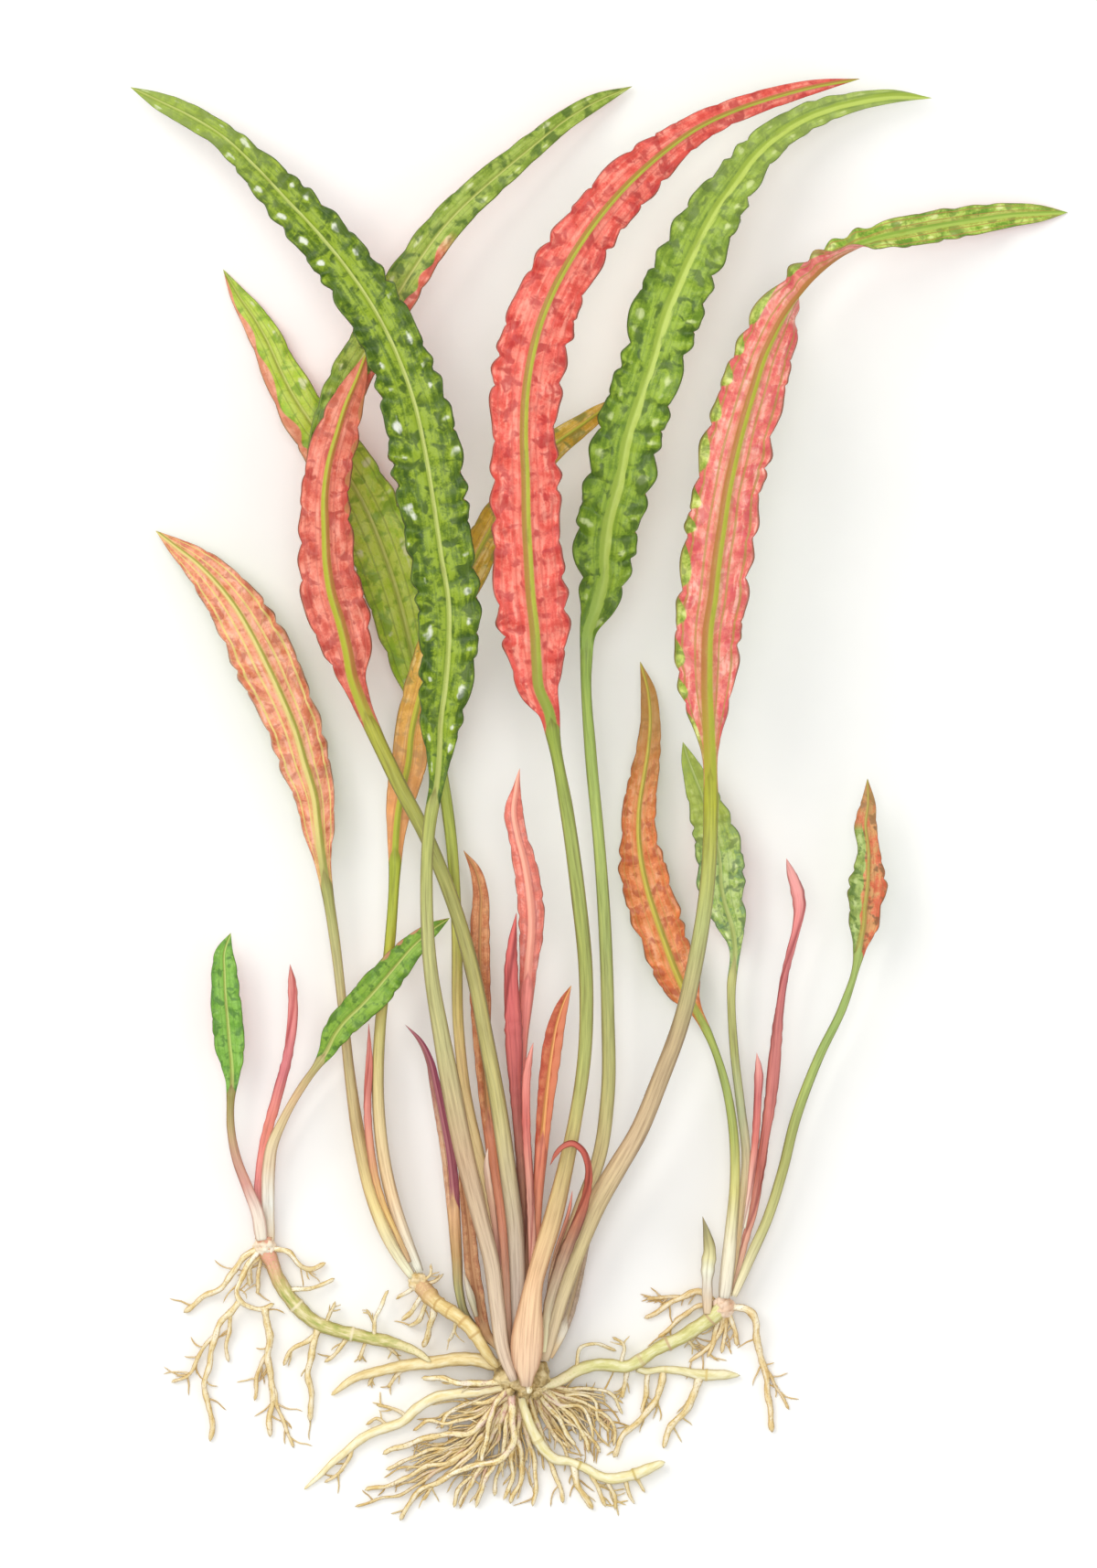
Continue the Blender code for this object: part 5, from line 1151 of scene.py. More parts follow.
plant("right_plantlet_red_leaf", leaf_skin(
    stalk=[
        (92.4, 38.5, 9, 1.2), (94.8, 50, 9.5, 1.4), (97, 60, 9.9, 1.8), (99.7, 70, 10.5, 2),
        (102.3, 85, 11.6, 2.1), (105, 102, 13.4, 2.3), (108, 122, 15.5, 2.8),
        (109.7, 140, 17.8, 2.7), (111.8, 162, 21, 2), (113.5, 174, 23, 1.8),
        (116.3, 186, 25, 1.8), (118.8, 196, 27, 2), (120, 205, 28.5, 2.8),
        (118.8, 213, 29.5, 2.9), (116.5, 220, 30, 2),
    ],
    tip=(114.3, 226.5, 30),
    around=32, rings=(200, 0), seed=65.0,
), leaf_tissue(
    "Rolled leaf of the right plantlet, rose",
    rib=("D86070", "D86070"), vein="8A3040",
    stalk=("F3D4B7", "EEA893", "D57B6C", "CF7A72", "C87771", "C46D6E", "F39492", "EEAAA4"),
    stalk_shade="9A4850",
))

plant("right_plantlet_red_spear", leaf_skin(
    stalk=[
        (96.4, 66, 13.4, 0.9), (98.2, 78, 15, 1.2), (99.6, 90, 16.6, 1.5),
        (100.9, 102, 17.7, 1.7), (102, 120, 18.7, 1.9), (102.4, 134, 19.5, 1.7),
    ],
    tip=(101.5, 141, 20),
    around=28, rings=(90, 0), seed=67.0,
), leaf_tissue(
    "Rolled young leaf of the right plantlet, wine red",
    rib=("C85868", "C85868"), vein="8A3040",
    stalk=("F3F3DC", "F3BAAA", "DC7B6F", "D1706E", "EEA49D"), stalk_shade="9A4850",
))

plant("right_plantlet_two_tone_leaf", leaf_skin(
    stalk=[
        (92.6, 36, 12.3, 1.6), (95.6, 43, 12.8, 2), (99.4, 52, 13.3, 2.3), (106, 67, 14.4, 2.3),
        (112.7, 88, 16.3, 2.3), (118.4, 111, 18.4, 2.3), (128.8, 139, 21.2, 2.1),
        (139.5, 161.5, 23.2, 1.9), (145.6, 181, 24.6, 2),
    ],
    blade=[
        (147, 189, 25, 3.6), (148.5, 197, 25.5, 6.5), (149, 205, 26, 7), (150, 213, 26.3, 8.6),
        (150.6, 222, 26, 6.6), (150.5, 231, 25, 4.8), (149.3, 241, 23.5, 4.9),
        (150.4, 250, 22, 3.4),
    ],
    tip=(150.2, 261.5, 20),
    roll=180,
    around=56, rings=(100, 120), wave=10, ruffle=1.3, lobe=0.11, cell=6, puff=0.9,
    rib=(1.5, 0.5), seed=69.0,
), leaf_tissue(
    "Plantlet leaf that is coppery on one half and green on the other",
    upper=("4A7028", "6E9440", "84A850", "A0BE68", "D4E4B0"),
    under=("7A5433", "CE623F", "D97950", "D49E65", "F3A569"),
    rib=("A89448", "B0A44C"), vein="A86C3C", vein_share=0.4,
    glints=0.3,
    stalk=("F3E7C0", "C4C182", "ADAF66", "A2B261", "98B160", "A2B663"), rim="907848", patch=4.0,
    margin=(UPPER, 0.22, 1.0, 0.0, 0.72), fade=("A88850", 0.7, 0.95),
))

plant("right_plantlet_shoot", leaf_skin(
    stalk=[
        (80, 28.3, 10.6, 2.2), (80, 34, 11, 2.5), (80, 40, 11.5, 2.5), (80.3, 46.5, 12.3, 3.2),
        (81, 54, 13.5, 2.9), (79.8, 61, 15, 1.7),
    ],
    tip=(77.7, 69, 17),
    around=32, rings=(80, 0), seed=71.0,
), leaf_tissue(
    "Scale leaves of a new shoot, cream and olive",
    rib=("D0B890", "D0B890"), vein="8A7A50",
    stalk=("DFC7A3", "EFDCBF", "F3EBDA", "F3F3DB", "E3DDA7", "BBB37D", "9D976B", "9A8964"),
    gloss=0.5,
))

# The side shoot's rhizome is a woody arch with roots under its end. Roots are fleshy, cream
# coloured strands with ochre stains and painted ochre shade along their sides, a little knobbly
# and never quite straight.

# A stem is less lumpy than a root and sways less
STEM_CALM = 0.4
# Rings at the nodes of a stem: half their width, and how far they stand out as a share
COLLAR_MM = 0.8
COLLAR_SWELL = 0.14
# A strand rounds off over this many radii at its end
BLUNT_RADII = 2.6
# A step that keeps the textures of two strands apart
STRAND_STEP_MM = 37
# What the tissue reads as stem, root or knob. A slim root's kind lies up to AGE_RANGE above
STEM_KIND = 0.0
ROOT_KIND = 1.0
KNOB_KIND = 2.0
AGE_RANGE = 0.25
SLIM_ROOT_MM = 1.05


def strand_rings(number, points, collars, is_stem, sides, step, seed):
    """Rings of one strand in mm, and the values that its tissue reads."""
    length = row_marks(points)[-1]
    along = np.concatenate(((0.0,), np.linspace(0, length, max(8, int(length / step)))))
    rows = read_rows(points, along)
    lag = seed * 1.9 + number * 2.3
    uneven = STEM_CALM if is_stem else 1.0
    lumps = 0.09 * np.sin(along / 2.1 + lag) + 0.07 * np.sin(along / 0.9 + 3 * lag)
    radius = rows[:, 3] * (1 + uneven * lumps)
    collar = np.zeros(len(along))
    for place in collars:
        collar = np.maximum(collar, np.exp(-((along - place) / COLLAR_MM) ** 2))
    radius = radius * (1 + COLLAR_SWELL * collar)
    left = np.clip((length - along) / (BLUNT_RADII * rows[-1, 3]), 0, 1)
    radius = radius * np.sqrt(np.clip(1 - (1 - left) ** 2, 0, 1))

    centre = rows[:, :3]
    heading = np.gradient(centre, axis=0)
    heading[0] = heading[1]
    heading /= np.linalg.norm(heading, axis=1)[:, None]
    across = np.cross(heading, (0.02, 0.01, 1))
    across /= np.linalg.norm(across, axis=1)[:, None]
    upward = np.cross(across, heading)
    sway = 0.55 * np.sin(along / 4.3 + lag) + 0.3 * np.sin(along / 2.2 + 2 * lag)
    sway = sway * np.clip(along / 10, 0, 1) * np.clip(1.6 / rows[:, 3], 0, 1) * uneven
    centre = centre + across * sway[:, None]
    centre[:, 2] = np.maximum(centre[:, 2], radius + FLOOR_CLEARANCE_MM)
    radius[[0, -1]] = 0

    angle = 2 * math.pi * np.arange(sides + 1) / sides
    ring = np.cos(angle)[None, :, None] * across[:, None, :]
    ring = ring + np.sin(angle)[None, :, None] * upward[:, None, :]
    ones = np.ones((len(along), sides + 1))
    around = np.sin(angle / 2) * rows[:, 3, None] * 3
    flank = np.abs(np.cos(angle)) * ones
    share = (along / length)[:, None] * ones
    apart = number * STRAND_STEP_MM * ones
    # Slim roots are stained through and through, each to a degree of its own
    age = AGE_RANGE * np.clip((SLIM_ROOT_MM - rows[0, 3]) / 0.3, 0, 1)
    age = age * (0.3 + 0.7 * (number * 0.618 % 1))
    return centre[:, None, :] + ring * radius[:, None, None], {
        "spot": np.stack((around, along[:, None] * ones, apart), axis=2),
        "form": np.stack((share, flank, collar[:, None] * ones), axis=2),
        "kind": (STEM_KIND if is_stem else ROOT_KIND + age) * ones,
    }


def strand_skin(strands, knobs=(), collars=(), stem=False, sides=10, step=1.2, seed=1.0):
    """Mesh of fleshy strands and of the knobs that they grow from, as (centre, radii).

    A strand is (start radius, end radius, points), or (0, 0, points with their own radii).
    The first one is a stem if stem is set, and collars are lengths along it where rings stand.
    """
    rings = []
    values = {"spot": [], "form": [], "kind": []}
    for number, (start, end, points) in enumerate(strands):
        is_stem = stem and number == 0
        if start:
            marks = row_marks(points)
            radii = start + (end - start) * marks / marks[-1]
            points = [(*point[:3], radius) for point, radius in zip(points, radii)]
        strand, strand_values = strand_rings(
            number, points, collars if is_stem else (), is_stem, sides, step, seed,
        )
        rings.append(strand)
        for title, value in strand_values.items():
            values[title].append(value)
    values = {title: np.concatenate(parts) for title, parts in values.items()}
    mesh = closed_skin(np.concatenate(rings), values)
    body = bmesh.new()
    body.from_mesh(mesh)
    spot_layer = body.verts.layers.float_vector["spot"]
    kind_layer = body.verts.layers.float["kind"]
    for number, (centre, radii) in enumerate(knobs):
        lump = bmesh.ops.create_icosphere(body, subdivisions=5, radius=1.0)["verts"]
        for vert in lump:
            way = vert.co.copy()
            swell = 0.22 * noise.noise(way * 2.2 + Vector((seed, number, 0)))
            swell += 0.06 * noise.noise(way * 5.0 + Vector((number, seed, 0)))
            scar = 0.025 * math.sin(way.y * 11 + 3 * noise.noise(way * 2))
            place = Vector(way[i] * radii[i] * (1 + swell + scar) + centre[i] for i in range(3))
            vert.co = (place + Vector(CROWN_MM)) * MM
            vert[spot_layer] = place
            vert[kind_layer] = KNOB_KIND
    bmesh.ops.recalc_face_normals(body, faces=body.faces)
    body.to_mesh(mesh)
    body.free()
    mesh.shade_smooth()
    return mesh


FIBRE_RADII_MM = (0.75, 0.4)


def fibres_between(strands, count, seed):
    """Finer roots that lie between the ones next to each other, and end a little short of them."""
    draw = random.Random(seed)
    parts = np.linspace(0, 1, 9)
    lines = []
    for _, _, points in strands:
        rows = np.array([point[:3] for point in points], dtype=float)
        lines.append(read_rows(rows, parts * row_marks(rows)[-1]))
    lines.sort(key=lambda line: math.atan2(line[-1][0] - line[0][0], line[0][1] - line[-1][1]))
    found = []
    for _ in range(count):
        i = draw.randrange(len(lines) - 1)
        weight = draw.uniform(0.1, 0.9)
        line = lines[i] * (1 - weight) + lines[i + 1] * weight
        line = line * [1, 1, draw.uniform(0.55, 1.0)]
        stray = np.cumsum([[draw.gauss(0, 0.9), draw.gauss(0, 0.9), 0] for _ in parts], axis=0)
        line = line + stray * parts[:, None]
        length = row_marks(line)[-1]
        line = read_rows(line, (0.12 + 0.88 * parts) * length * draw.uniform(0.55, 0.97))
        size = draw.uniform(0.7, 1.2)
        start, end = [radius * size for radius in FIBRE_RADII_MM]
        found.append((start, end, [tuple(point) for point in line]))
    return found


# A rootlet sinks as it grows and stays this far above the table
ROOTLET_STEPS = 4
ROOTLET_FALL = -0.35
ROOTLET_FLOOR_MM = 0.6


def side_rootlets(strands, count, seed, size=0.45):
    """Fine rootlets that leave the strands at a slant."""
    draw = random.Random(seed)
    found = []
    for _ in range(count):
        points = np.array([point[:3] for point in draw.choice(strands)[2]], dtype=float)
        length = row_marks(points)[-1]
        place = length * draw.uniform(0.25, 0.95)
        ends = read_rows(points, np.array((place, place + 1)))
        way = math.atan2(ends[1][1] - ends[0][1], ends[1][0] - ends[0][0])
        way += draw.choice((-1, 1)) * draw.uniform(0.4, 1.1)
        reach = min(draw.uniform(5, 12), 0.4 * length)
        line = [ends[0]]
        for _ in range(ROOTLET_STEPS):
            way += draw.uniform(-0.35, 0.35)
            move = np.array((math.cos(way), math.sin(way), ROOTLET_FALL)) * reach / ROOTLET_STEPS
            x, y, z = line[-1] + move
            line.append(np.array((x, y, max(z, ROOTLET_FLOOR_MM))))
        found.append((size, 0.5 * size, [tuple(point) for point in line]))
    return found


# Patterns per millimetre: streaks across and along a root, and grains of soil about 1 mm wide
ROOT_STREAKS_PER_MM = (0.5, 0.12, 1.0)
SOIL_GRAINS_PER_MM = 0.9
RIND_CLOUDS_PER_MM = 0.17
# Heights in metres between which roots turn ochre near the table: tip colour and painted shade
UNTINTED_HEIGHT = 0.009
OCHRE_HEIGHT = 0.002
LOW_OCHRE_COLOUR = "D0AC60"


def root_tissue(name, flesh, stain_and_shade, bark, stem=("9CB050", "B8CC70", "D8E0A0"), collar="F0E8C8",
                heel=None, toe=None, blush=None):
    """Root, runner or rhizome: pale moist flesh, with painted ochre shade along its sides.

    The flesh gives the eye a cream lit side with a dull sheen, and the painted shade an ochre
    outline. The same ochre gives real patches, and slim roots that are ochre all through.

    flesh, stem and bark run from dark to pale, for roots, for a stem and for the knobs. heel and
    toe colour the stem's first and last part, and blush some roots near their start.
    """
    material = bpy.data.materials.new(name)
    material.use_nodes = True
    tree = material.node_tree
    shader = tree.nodes["Principled BSDF"]
    shader.inputs["IOR"].default_value = 1.4

    spot = add_node(tree, "Attribute", attribute_name="spot").outputs["Vector"]
    form = add_node(tree, "Attribute", attribute_name="form").outputs["Vector"]
    kind = add_node(tree, "Attribute", attribute_name="kind").outputs["Fac"]
    share, flank, ring = add_node(tree, "SeparateXYZ", [form]).outputs
    drawn = add_node(tree, "Mapping", {"Vector": spot, "Scale": ROOT_STREAKS_PER_MM})
    cloud = add_node(tree, "TexNoise", {
        "Vector": drawn, "Scale": 1.0, "Detail": 3.0, "Roughness": 0.6,
    })
    grain = add_node(tree, "TexNoise", {
        "Vector": spot, "Scale": SOIL_GRAINS_PER_MM, "Detail": 3.0, "Roughness": 0.6,
    })

    # Roots: painted ochre shade along their sides, ochre patches, a blush near the start, and the
    # lowest ones ochre, partly as painted shade near the table
    root = add_node(tree, "ValToRGB", [cloud], stops=spread(flesh, 0.36, 0.62))
    # Painted shade: ochre along the root's sides, broken up by the grain
    root_flank_shade = add_node(tree, "MapRange", [flank, 0.55, 0.98], interpolation_type="SMOOTHSTEP")
    uneven = add_node(tree, "MapRange", [grain, 0.35, 0.6, 0.4, 1.0])
    root_flank_shade = add_node(tree, "Math", [root_flank_shade, uneven], operation="MULTIPLY")
    root = add_node(tree, "Mix", [root_flank_shade, root, linear(stain_and_shade)], data_type="RGBA")
    patches = add_node(tree, "MapRange", [grain, 0.54, 0.7, 0.0, 0.7])
    root = add_node(tree, "Mix", [patches, root, linear(stain_and_shade)], data_type="RGBA")
    if blush:
        near = add_node(tree, "MapRange", [share, 0.6, 0.15, 0.0, 0.55])
        patchy = add_node(tree, "MapRange", [cloud, 0.5, 0.62])
        near = add_node(tree, "Math", [near, patchy], operation="MULTIPLY")
        root = add_node(tree, "Mix", [near, root, linear(blush)], data_type="RGBA")
    place = add_node(tree, "TexCoord").outputs["Object"]
    height_m = add_node(tree, "SeparateXYZ", [place]).outputs["Z"]
    # Roots close to the table turn ochre: partly the colour of their tips, partly painted shade
    low = add_node(tree, "MapRange", [height_m, UNTINTED_HEIGHT, OCHRE_HEIGHT, 0.0, 0.35])
    root = add_node(tree, "Mix", [low, root, linear(LOW_OCHRE_COLOUR)], data_type="RGBA")
    aged = add_node(tree, "MapRange", [kind, ROOT_KIND, ROOT_KIND + AGE_RANGE, 0.0, 0.6])
    root = add_node(tree, "Mix", [aged, root, linear(stain_and_shade)], data_type="RGBA")

    # Stems: ends of another colour, painted shade along their sides, and rings at the nodes
    creeping = add_node(tree, "ValToRGB", [cloud], stops=spread(stem))
    for end, first, last in ((heel, 0.26, 0.1), (toe, 0.78, 0.92)):
        if end:
            near = add_node(tree, "MapRange", [share, first, last, 0.0, 1.0])
            patchy = add_node(tree, "MapRange", [grain, 0.35, 0.5, 0.3, 1.0])
            near = add_node(tree, "Math", [near, patchy], operation="MULTIPLY")
            creeping = add_node(tree, "Mix", [near, creeping, linear(end)], data_type="RGBA")
    # The stem is darker along its sides: painted shade
    edge = add_node(tree, "MapRange", [flank, 0.6, 1.0, 0.0, 0.6],
                    interpolation_type="SMOOTHSTEP")
    creeping = add_node(tree, "Mix", [edge, creeping, linear(stain_and_shade)], data_type="RGBA")
    around = add_node(tree, "MapRange", [ring, 0.35, 0.8, 0.0, 0.85])
    creeping = add_node(tree, "Mix", [around, creeping, linear(collar)], data_type="RGBA")

    # Knobs have a rind with clouds of about 6 mm
    rind = add_node(tree, "TexNoise", {
        "Vector": spot, "Scale": RIND_CLOUDS_PER_MM, "Detail": 3.0, "Roughness": 0.55,
    })
    knob = add_node(tree, "ValToRGB", [rind], stops=spread(bark, 0.3, 0.6))
    is_root = add_node(tree, "MapRange", [kind, 0.3, 0.7])
    is_knob = add_node(tree, "MapRange", [kind, 1.3, 1.7])
    colour = add_node(tree, "Mix", [is_root, creeping, root], data_type="RGBA")
    colour = add_node(tree, "Mix", [is_knob, colour, knob], data_type="RGBA")
    tree.links.new(colour.outputs[2], shader.inputs["Base Color"])
    roughness = add_node(tree, "MapRange", [grain, 0.3, 0.7, 0.4, 0.62])
    tree.links.new(roughness.outputs[0], shader.inputs["Roughness"])
    height = add_node(tree, "Math", [cloud, 0.6, grain], operation="MULTIPLY_ADD")
    bump = add_node(tree, "Bump", {"Strength": 0.5, "Distance": 0.0004, "Height": height})
    tree.links.new(bump.outputs[0], shader.inputs["Normal"])
    return material


ROOT_FLESH = ("DCC080", "EEDCA8", "F6EAC4", "FDF8E4")
OFFSET_ARCH = [
    (-47, 39, 11.8, 3.6), (-45, 37, 12.5, 3.9), (-41, 32.5, 16, 3.5), (-35, 28.5, 21.5, 3.2),
    (-29, 24.5, 26, 3.1), (-23.5, 19, 27.8, 2.9), (-19, 12.5, 26.8, 2.6), (-15.8, 7, 24, 2.3),
    (-12, 2.5, 20.5, 2.2),
]
OFFSET_ROOTS = [
    (1.2, 1, [(-45, 35, 12), (-49, 28, 8), (-55, 22.5, 4)]),
    (1.2, 1, [(-43, 33, 14), (-47, 24, 7), (-51.5, 19.5, 2.5)]),
    (1.6, 1.2, [(-41, 32, 15), (-41, 23, 11), (-43.5, 15, 6), (-45.5, 10.5, 2.5)]),
    (0.9, 0.7, [(-45, 39, 12), (-40, 40.5, 12), (-36, 43.5, 10)]),
    (0.8, 0.6, [(-46, 40, 13), (-42, 43, 14), (-41, 48, 12)]),
    (1, 0.8, [(-48, 39, 11), (-53.5, 34, 8), (-57, 31.5, 5.5)]),
    (1, 0.7, [(-30, 25, 25), (-32, 17.5, 17), (-35, 14, 9)]),
]

plant("offset_rhizome", strand_skin([
    (0, 0, OFFSET_ARCH), *OFFSET_ROOTS, *side_rootlets(OFFSET_ROOTS, 8, 12, 0.4),
], knobs=[((-47.5, 40, 11.3), (4.4, 4.2, 4.2))], collars=(8, 15, 22, 30, 37), stem=True,
    seed=2.0), root_tissue(
    "Rhizome and roots of the side shoot, yellowish",
    flesh=ROOT_FLESH, stain_and_shade="B48C48", stem=("D8B870", "E8D090", "F4E4B4"), collar="C8A260",
    bark=("C8A868", "E4CC98", "F4E4C4"), heel="D8B084",
))

# The rhizomes of the two plantlets are small pale knobs of soft young tissue under the leaf
# bases, each with its own roots, which spread over the table around it.

LEFT_PLANTLET_ROOTS = [
    (1.5, 1.1, [(-117, 55, 6), (-124, 50, 7), (-129, 44, 6.5), (-134, 38, 5), (-141, 33, 3),
        (-151, 26, 1.5)]),
    (1.3, 1.1, [(-117, 54, 7), (-124, 45, 9), (-127, 36, 9), (-123, 29.5, 7), (-116.5, 27.5, 6),
        (-110.5, 29.5, 5)]),
    (1.5, 1.1, [(-125.5, 32, 7.6), (-133, 23, 5.5), (-138, 12, 4), (-140.5, 0, 3),
        (-141, -10, 2.5), (-139, -20, 1.8), (-138.5, -31, 1.4)]),
    (1, 0.7, [(-136, 17, 4.6), (-143, 9, 3), (-148, 0, 2), (-156, -5.5, 1.2)]),
    (1.7, 1.2, [(-115, 28, 6), (-113.5, 16, 4.5), (-113, 4, 3.2), (-112, -10, 2.3),
        (-113, -29, 1.5)]),
    (1, 0.7, [(-112.4, -4, 2.6), (-109, -15, 1.8), (-103, -34, 1)]),
    (1, 0.8, [(-113.3, 9, 3.6), (-118, 0, 2), (-120, -13, 1.2)]),
    (1.4, 1, [(-114, 55, 7), (-106, 53, 8), (-100, 48, 6.5), (-94, 45.5, 4), (-88, 48, 2)]),
    (1.2, 1, [(-116, 53, 6), (-121, 46, 6), (-122, 37.5, 4)]),
    (1.1, 0.8, [(-116, 53, 5), (-118, 43, 4), (-119, 34, 3)]),
    (1, 0.8, [(-130, 26, 6.2), (-131.5, 14, 3), (-131, 4, 1.4)]),
]
RIGHT_PLANTLET_ROOTS = [
    (1.6, 1.1, [(84, 29.5, 5.5), (76, 35.5, 3.5), (68, 33, 3), (60, 27, 2), (52, 23.5, 1.4)]),
    (0.9, 0.7, [(68, 33, 3), (59, 33, 2), (53, 31, 1.2)]),
    (1.2, 1, [(84, 28.5, 4.5), (76, 28.5, 3), (70, 25, 2.5), (63, 19.5, 2), (58.5, 14.5, 1.3)]),
    (1.3, 0.9, [(86, 26, 6.5), (82.5, 15, 4), (80.5, 6, 2)]),
    (1.2, 0.9, [(87, 26, 6), (84, 14, 3.5), (77, 8, 2), (71.5, 4.3, 1.3)]),
    (1.3, 1, [(89, 27, 7), (92, 19, 4), (93, 11, 1.5)]),
    (1.8, 1.2, [(89, 29, 8), (97, 27.5, 9), (101.5, 21, 7.5), (102.5, 11, 4), (104.5, 2, 2.5),
        (107, -8, 2), (108, -27, 1.4)]),
    (0.8, 0.6, [(104.5, 2.5, 2.6), (110, -5, 1.5), (116, -17, 1)]),
    (1.1, 0.8, [(88.5, 26, 6), (87.5, 15, 3), (85.5, 8, 1.5)]),
]

plant("left_plantlet_rhizome", strand_skin([
    *LEFT_PLANTLET_ROOTS, *side_rootlets(LEFT_PLANTLET_ROOTS, 44, 13),
], knobs=[((-115.2, 55.5, 7), (4.8, 4.2, 4.4))], seed=3.0), root_tissue(
    "Rootstock and roots of the left plantlet, cream",
    flesh=ROOT_FLESH, stain_and_shade="B89050", bark=("D8B898", "F0DCC0", "F8F0DC"),
))

plant("right_plantlet_rhizome", strand_skin([
    *RIGHT_PLANTLET_ROOTS, *side_rootlets(RIGHT_PLANTLET_ROOTS, 38, 14),
], knobs=[((87.2, 29, 8.3), (4.6, 5, 4.4))], seed=4.0), root_tissue(
    "Rootstock and roots of the right plantlet, ochre",
    flesh=("DCBC80", "EED8A4", "F6E8C2", "FDF6E0"), stain_and_shade="B48C4C",
    bark=("C89878", "E4C0A0", "F4DCC4"),
))

# Runners are green creeping stems with a ring at every node. The left one is cream coloured at
# its nodes and reddish where it meets the young plant. Fine roots grow from them.

LEFT_RUNNER_LINE = [
    (-115.3, 59.5, 7.2, 4.1), (-115, 55, 6.8, 4), (-113.6, 51.5, 6.4, 3.6),
    (-112.3, 49, 6.2, 3.3), (-109.5, 42, 5.8, 3.2), (-106, 35.5, 5.4, 3.3), (-101, 29, 5, 3.3),
    (-95, 23.5, 4.8, 3.2), (-88.5, 20, 4.6, 3.1), (-80, 17.3, 4.8, 3), (-71, 15.4, 5, 2.9),
    (-62, 13.8, 5.6, 2.8), (-55, 11.7, 7, 2.3), (-49.5, 9.5, 8.6, 1.9), (-44.5, 6.8, 9.6, 1.5),
    (-41.5, 4.8, 10.2, 0.9),
]
LEFT_RUNNER_ROOTS = [
    (1.1, 0.8, [(-104.5, 36, 6), (-98, 37, 6), (-91, 38, 4.5), (-84, 41, 3)]),
    (1.7, 1.1, [(-91, 21, 4), (-94, 11, 4), (-96, 2, 3.5), (-94.5, -7, 3), (-95, -16, 2),
        (-96, -22, 1.5)]),
    (1.2, 0.9, [(-90, 19.5, 4), (-98, 12.5, 3.6), (-104, 8, 3), (-107, 2.5, 2)]),
    (1.1, 0.8, [(-78, 16, 4), (-83, 8.5, 2.5), (-89, 4, 1.3)]),
    (1, 0.8, [(-70, 15, 4), (-72.5, 8, 2.2), (-74, 4.5, 1.2)]),
    (0.9, 0.7, [(-65, 14, 5), (-59, 9.5, 4), (-55.5, 7.5, 3)]),
    (1, 0.8, [(-67, 15, 5.5), (-66.5, 23, 8), (-63, 30, 8), (-60, 36, 6)]),
    (0.8, 0.6, [(-66.6, 21, 7.3), (-70, 28, 6)]),
    (0.9, 0.7, [(-88, 20.5, 5), (-86, 27, 6), (-84.5, 31.5, 5)]),
]
RIGHT_RUNNER_LINE = [
    (7.5, -5.2, 13.6, 2.2), (11.6, -4.8, 12.7, 2.2), (17, -2.2, 11, 2.6), (23, 1, 9.5, 2.7),
    (30, 3, 8.2, 2.8), (38, 3, 7.3, 2.8), (45, 2.7, 6.8, 2.8), (50, 5, 6.6, 2.8),
    (56, 9, 6.4, 2.8), (62, 12.3, 6.2, 3), (68.5, 15.3, 6.2, 3.1), (74.5, 19, 6.6, 3.2),
    (80.5, 23, 7.3, 3.4), (85, 27.5, 8.6, 3.9), (87.6, 32.5, 9.8, 4),
]
RIGHT_RUNNER_ROOTS = [
    (1.2, 0.9, [(45, 2, 5.5), (43.5, -6, 3), (42, -12, 1.5)]),
    (0.9, 0.7, [(22, 1, 10), (25, 11, 10), (31, 13.3, 8), (36.5, 10.5, 5), (40, 9, 2.5)]),
    (0.9, 0.7, [(42, 3.5, 7.6), (42.5, 12, 7), (38, 15.5, 5)]),
    (0.9, 0.7, [(70, 16, 5.5), (73, 12, 3.5), (75, 9.5, 1.5)]),
]
RIGHT_TIP_LINE = [
    (49, 1.5, 5, 1.5), (52.2, 0.4, 4.2, 1.6), (60, 1, 3.6, 1.5), (68, 0.2, 3, 1.9),
    (75, -0.9, 2.8, 2.3), (82, -1.4, 2.8, 2.5), (88, -1.4, 2.7, 2.1), (94.5, -2, 2.2, 0.4),
]
RIGHT_TIP_ROOTS = [
    (1.3, 0.9, [(54, 0.4, 3.8), (52.5, -9, 2), (52, -19, 1.3)]),
    (1.6, 1.2, [(60.5, 0.6, 3), (59, -10, 2.2), (53, -18, 2), (45, -26, 2), (38.5, -38, 1.5)]),
    (1.8, 1.3, [(77, -1.5, 2.8), (73, -12, 2.5), (67, -21, 2.2), (62, -29, 1.8),
        (60.5, -34, 1.4)]),
]
LOWER_RUNNER_LINE = [
    (-2.6, -8, 14.5, 2), (-1.5, -13.3, 13.5, 2), (0.5, -20, 12, 2.2), (4, -27, 10, 2.4),
    (8, -34, 8, 2.5), (13, -38.5, 6.5, 2.3), (20, -39.7, 5.5, 1.9), (26, -42, 4.8, 2),
    (32, -45.8, 4.2, 2.2), (38, -47.2, 4, 2.4), (45, -46, 4, 2.5), (53, -43, 4, 2.4),
    (61.5, -39.8, 4, 1.5),
]
LOWER_RUNNER_ROOTS = [
    (1.6, 1.2, [(20, -39.7, 5), (23.5, -50, 3.5), (29.5, -61, 1.5)]),
    (1.1, 0.8, [(28, -43.5, 4.5), (32.5, -53, 2.5), (34.5, -60, 1.3)]),
    (1, 0.8, [(35, -46.5, 4), (38.5, -55, 2.2), (40, -61, 1.3)]),
    (1, 0.7, [(43, -46, 3.8), (48, -58.5, 1.3)]),
    (0.9, 0.7, [(48, -45, 3.8), (52.5, -53.5, 1.4)]),
]

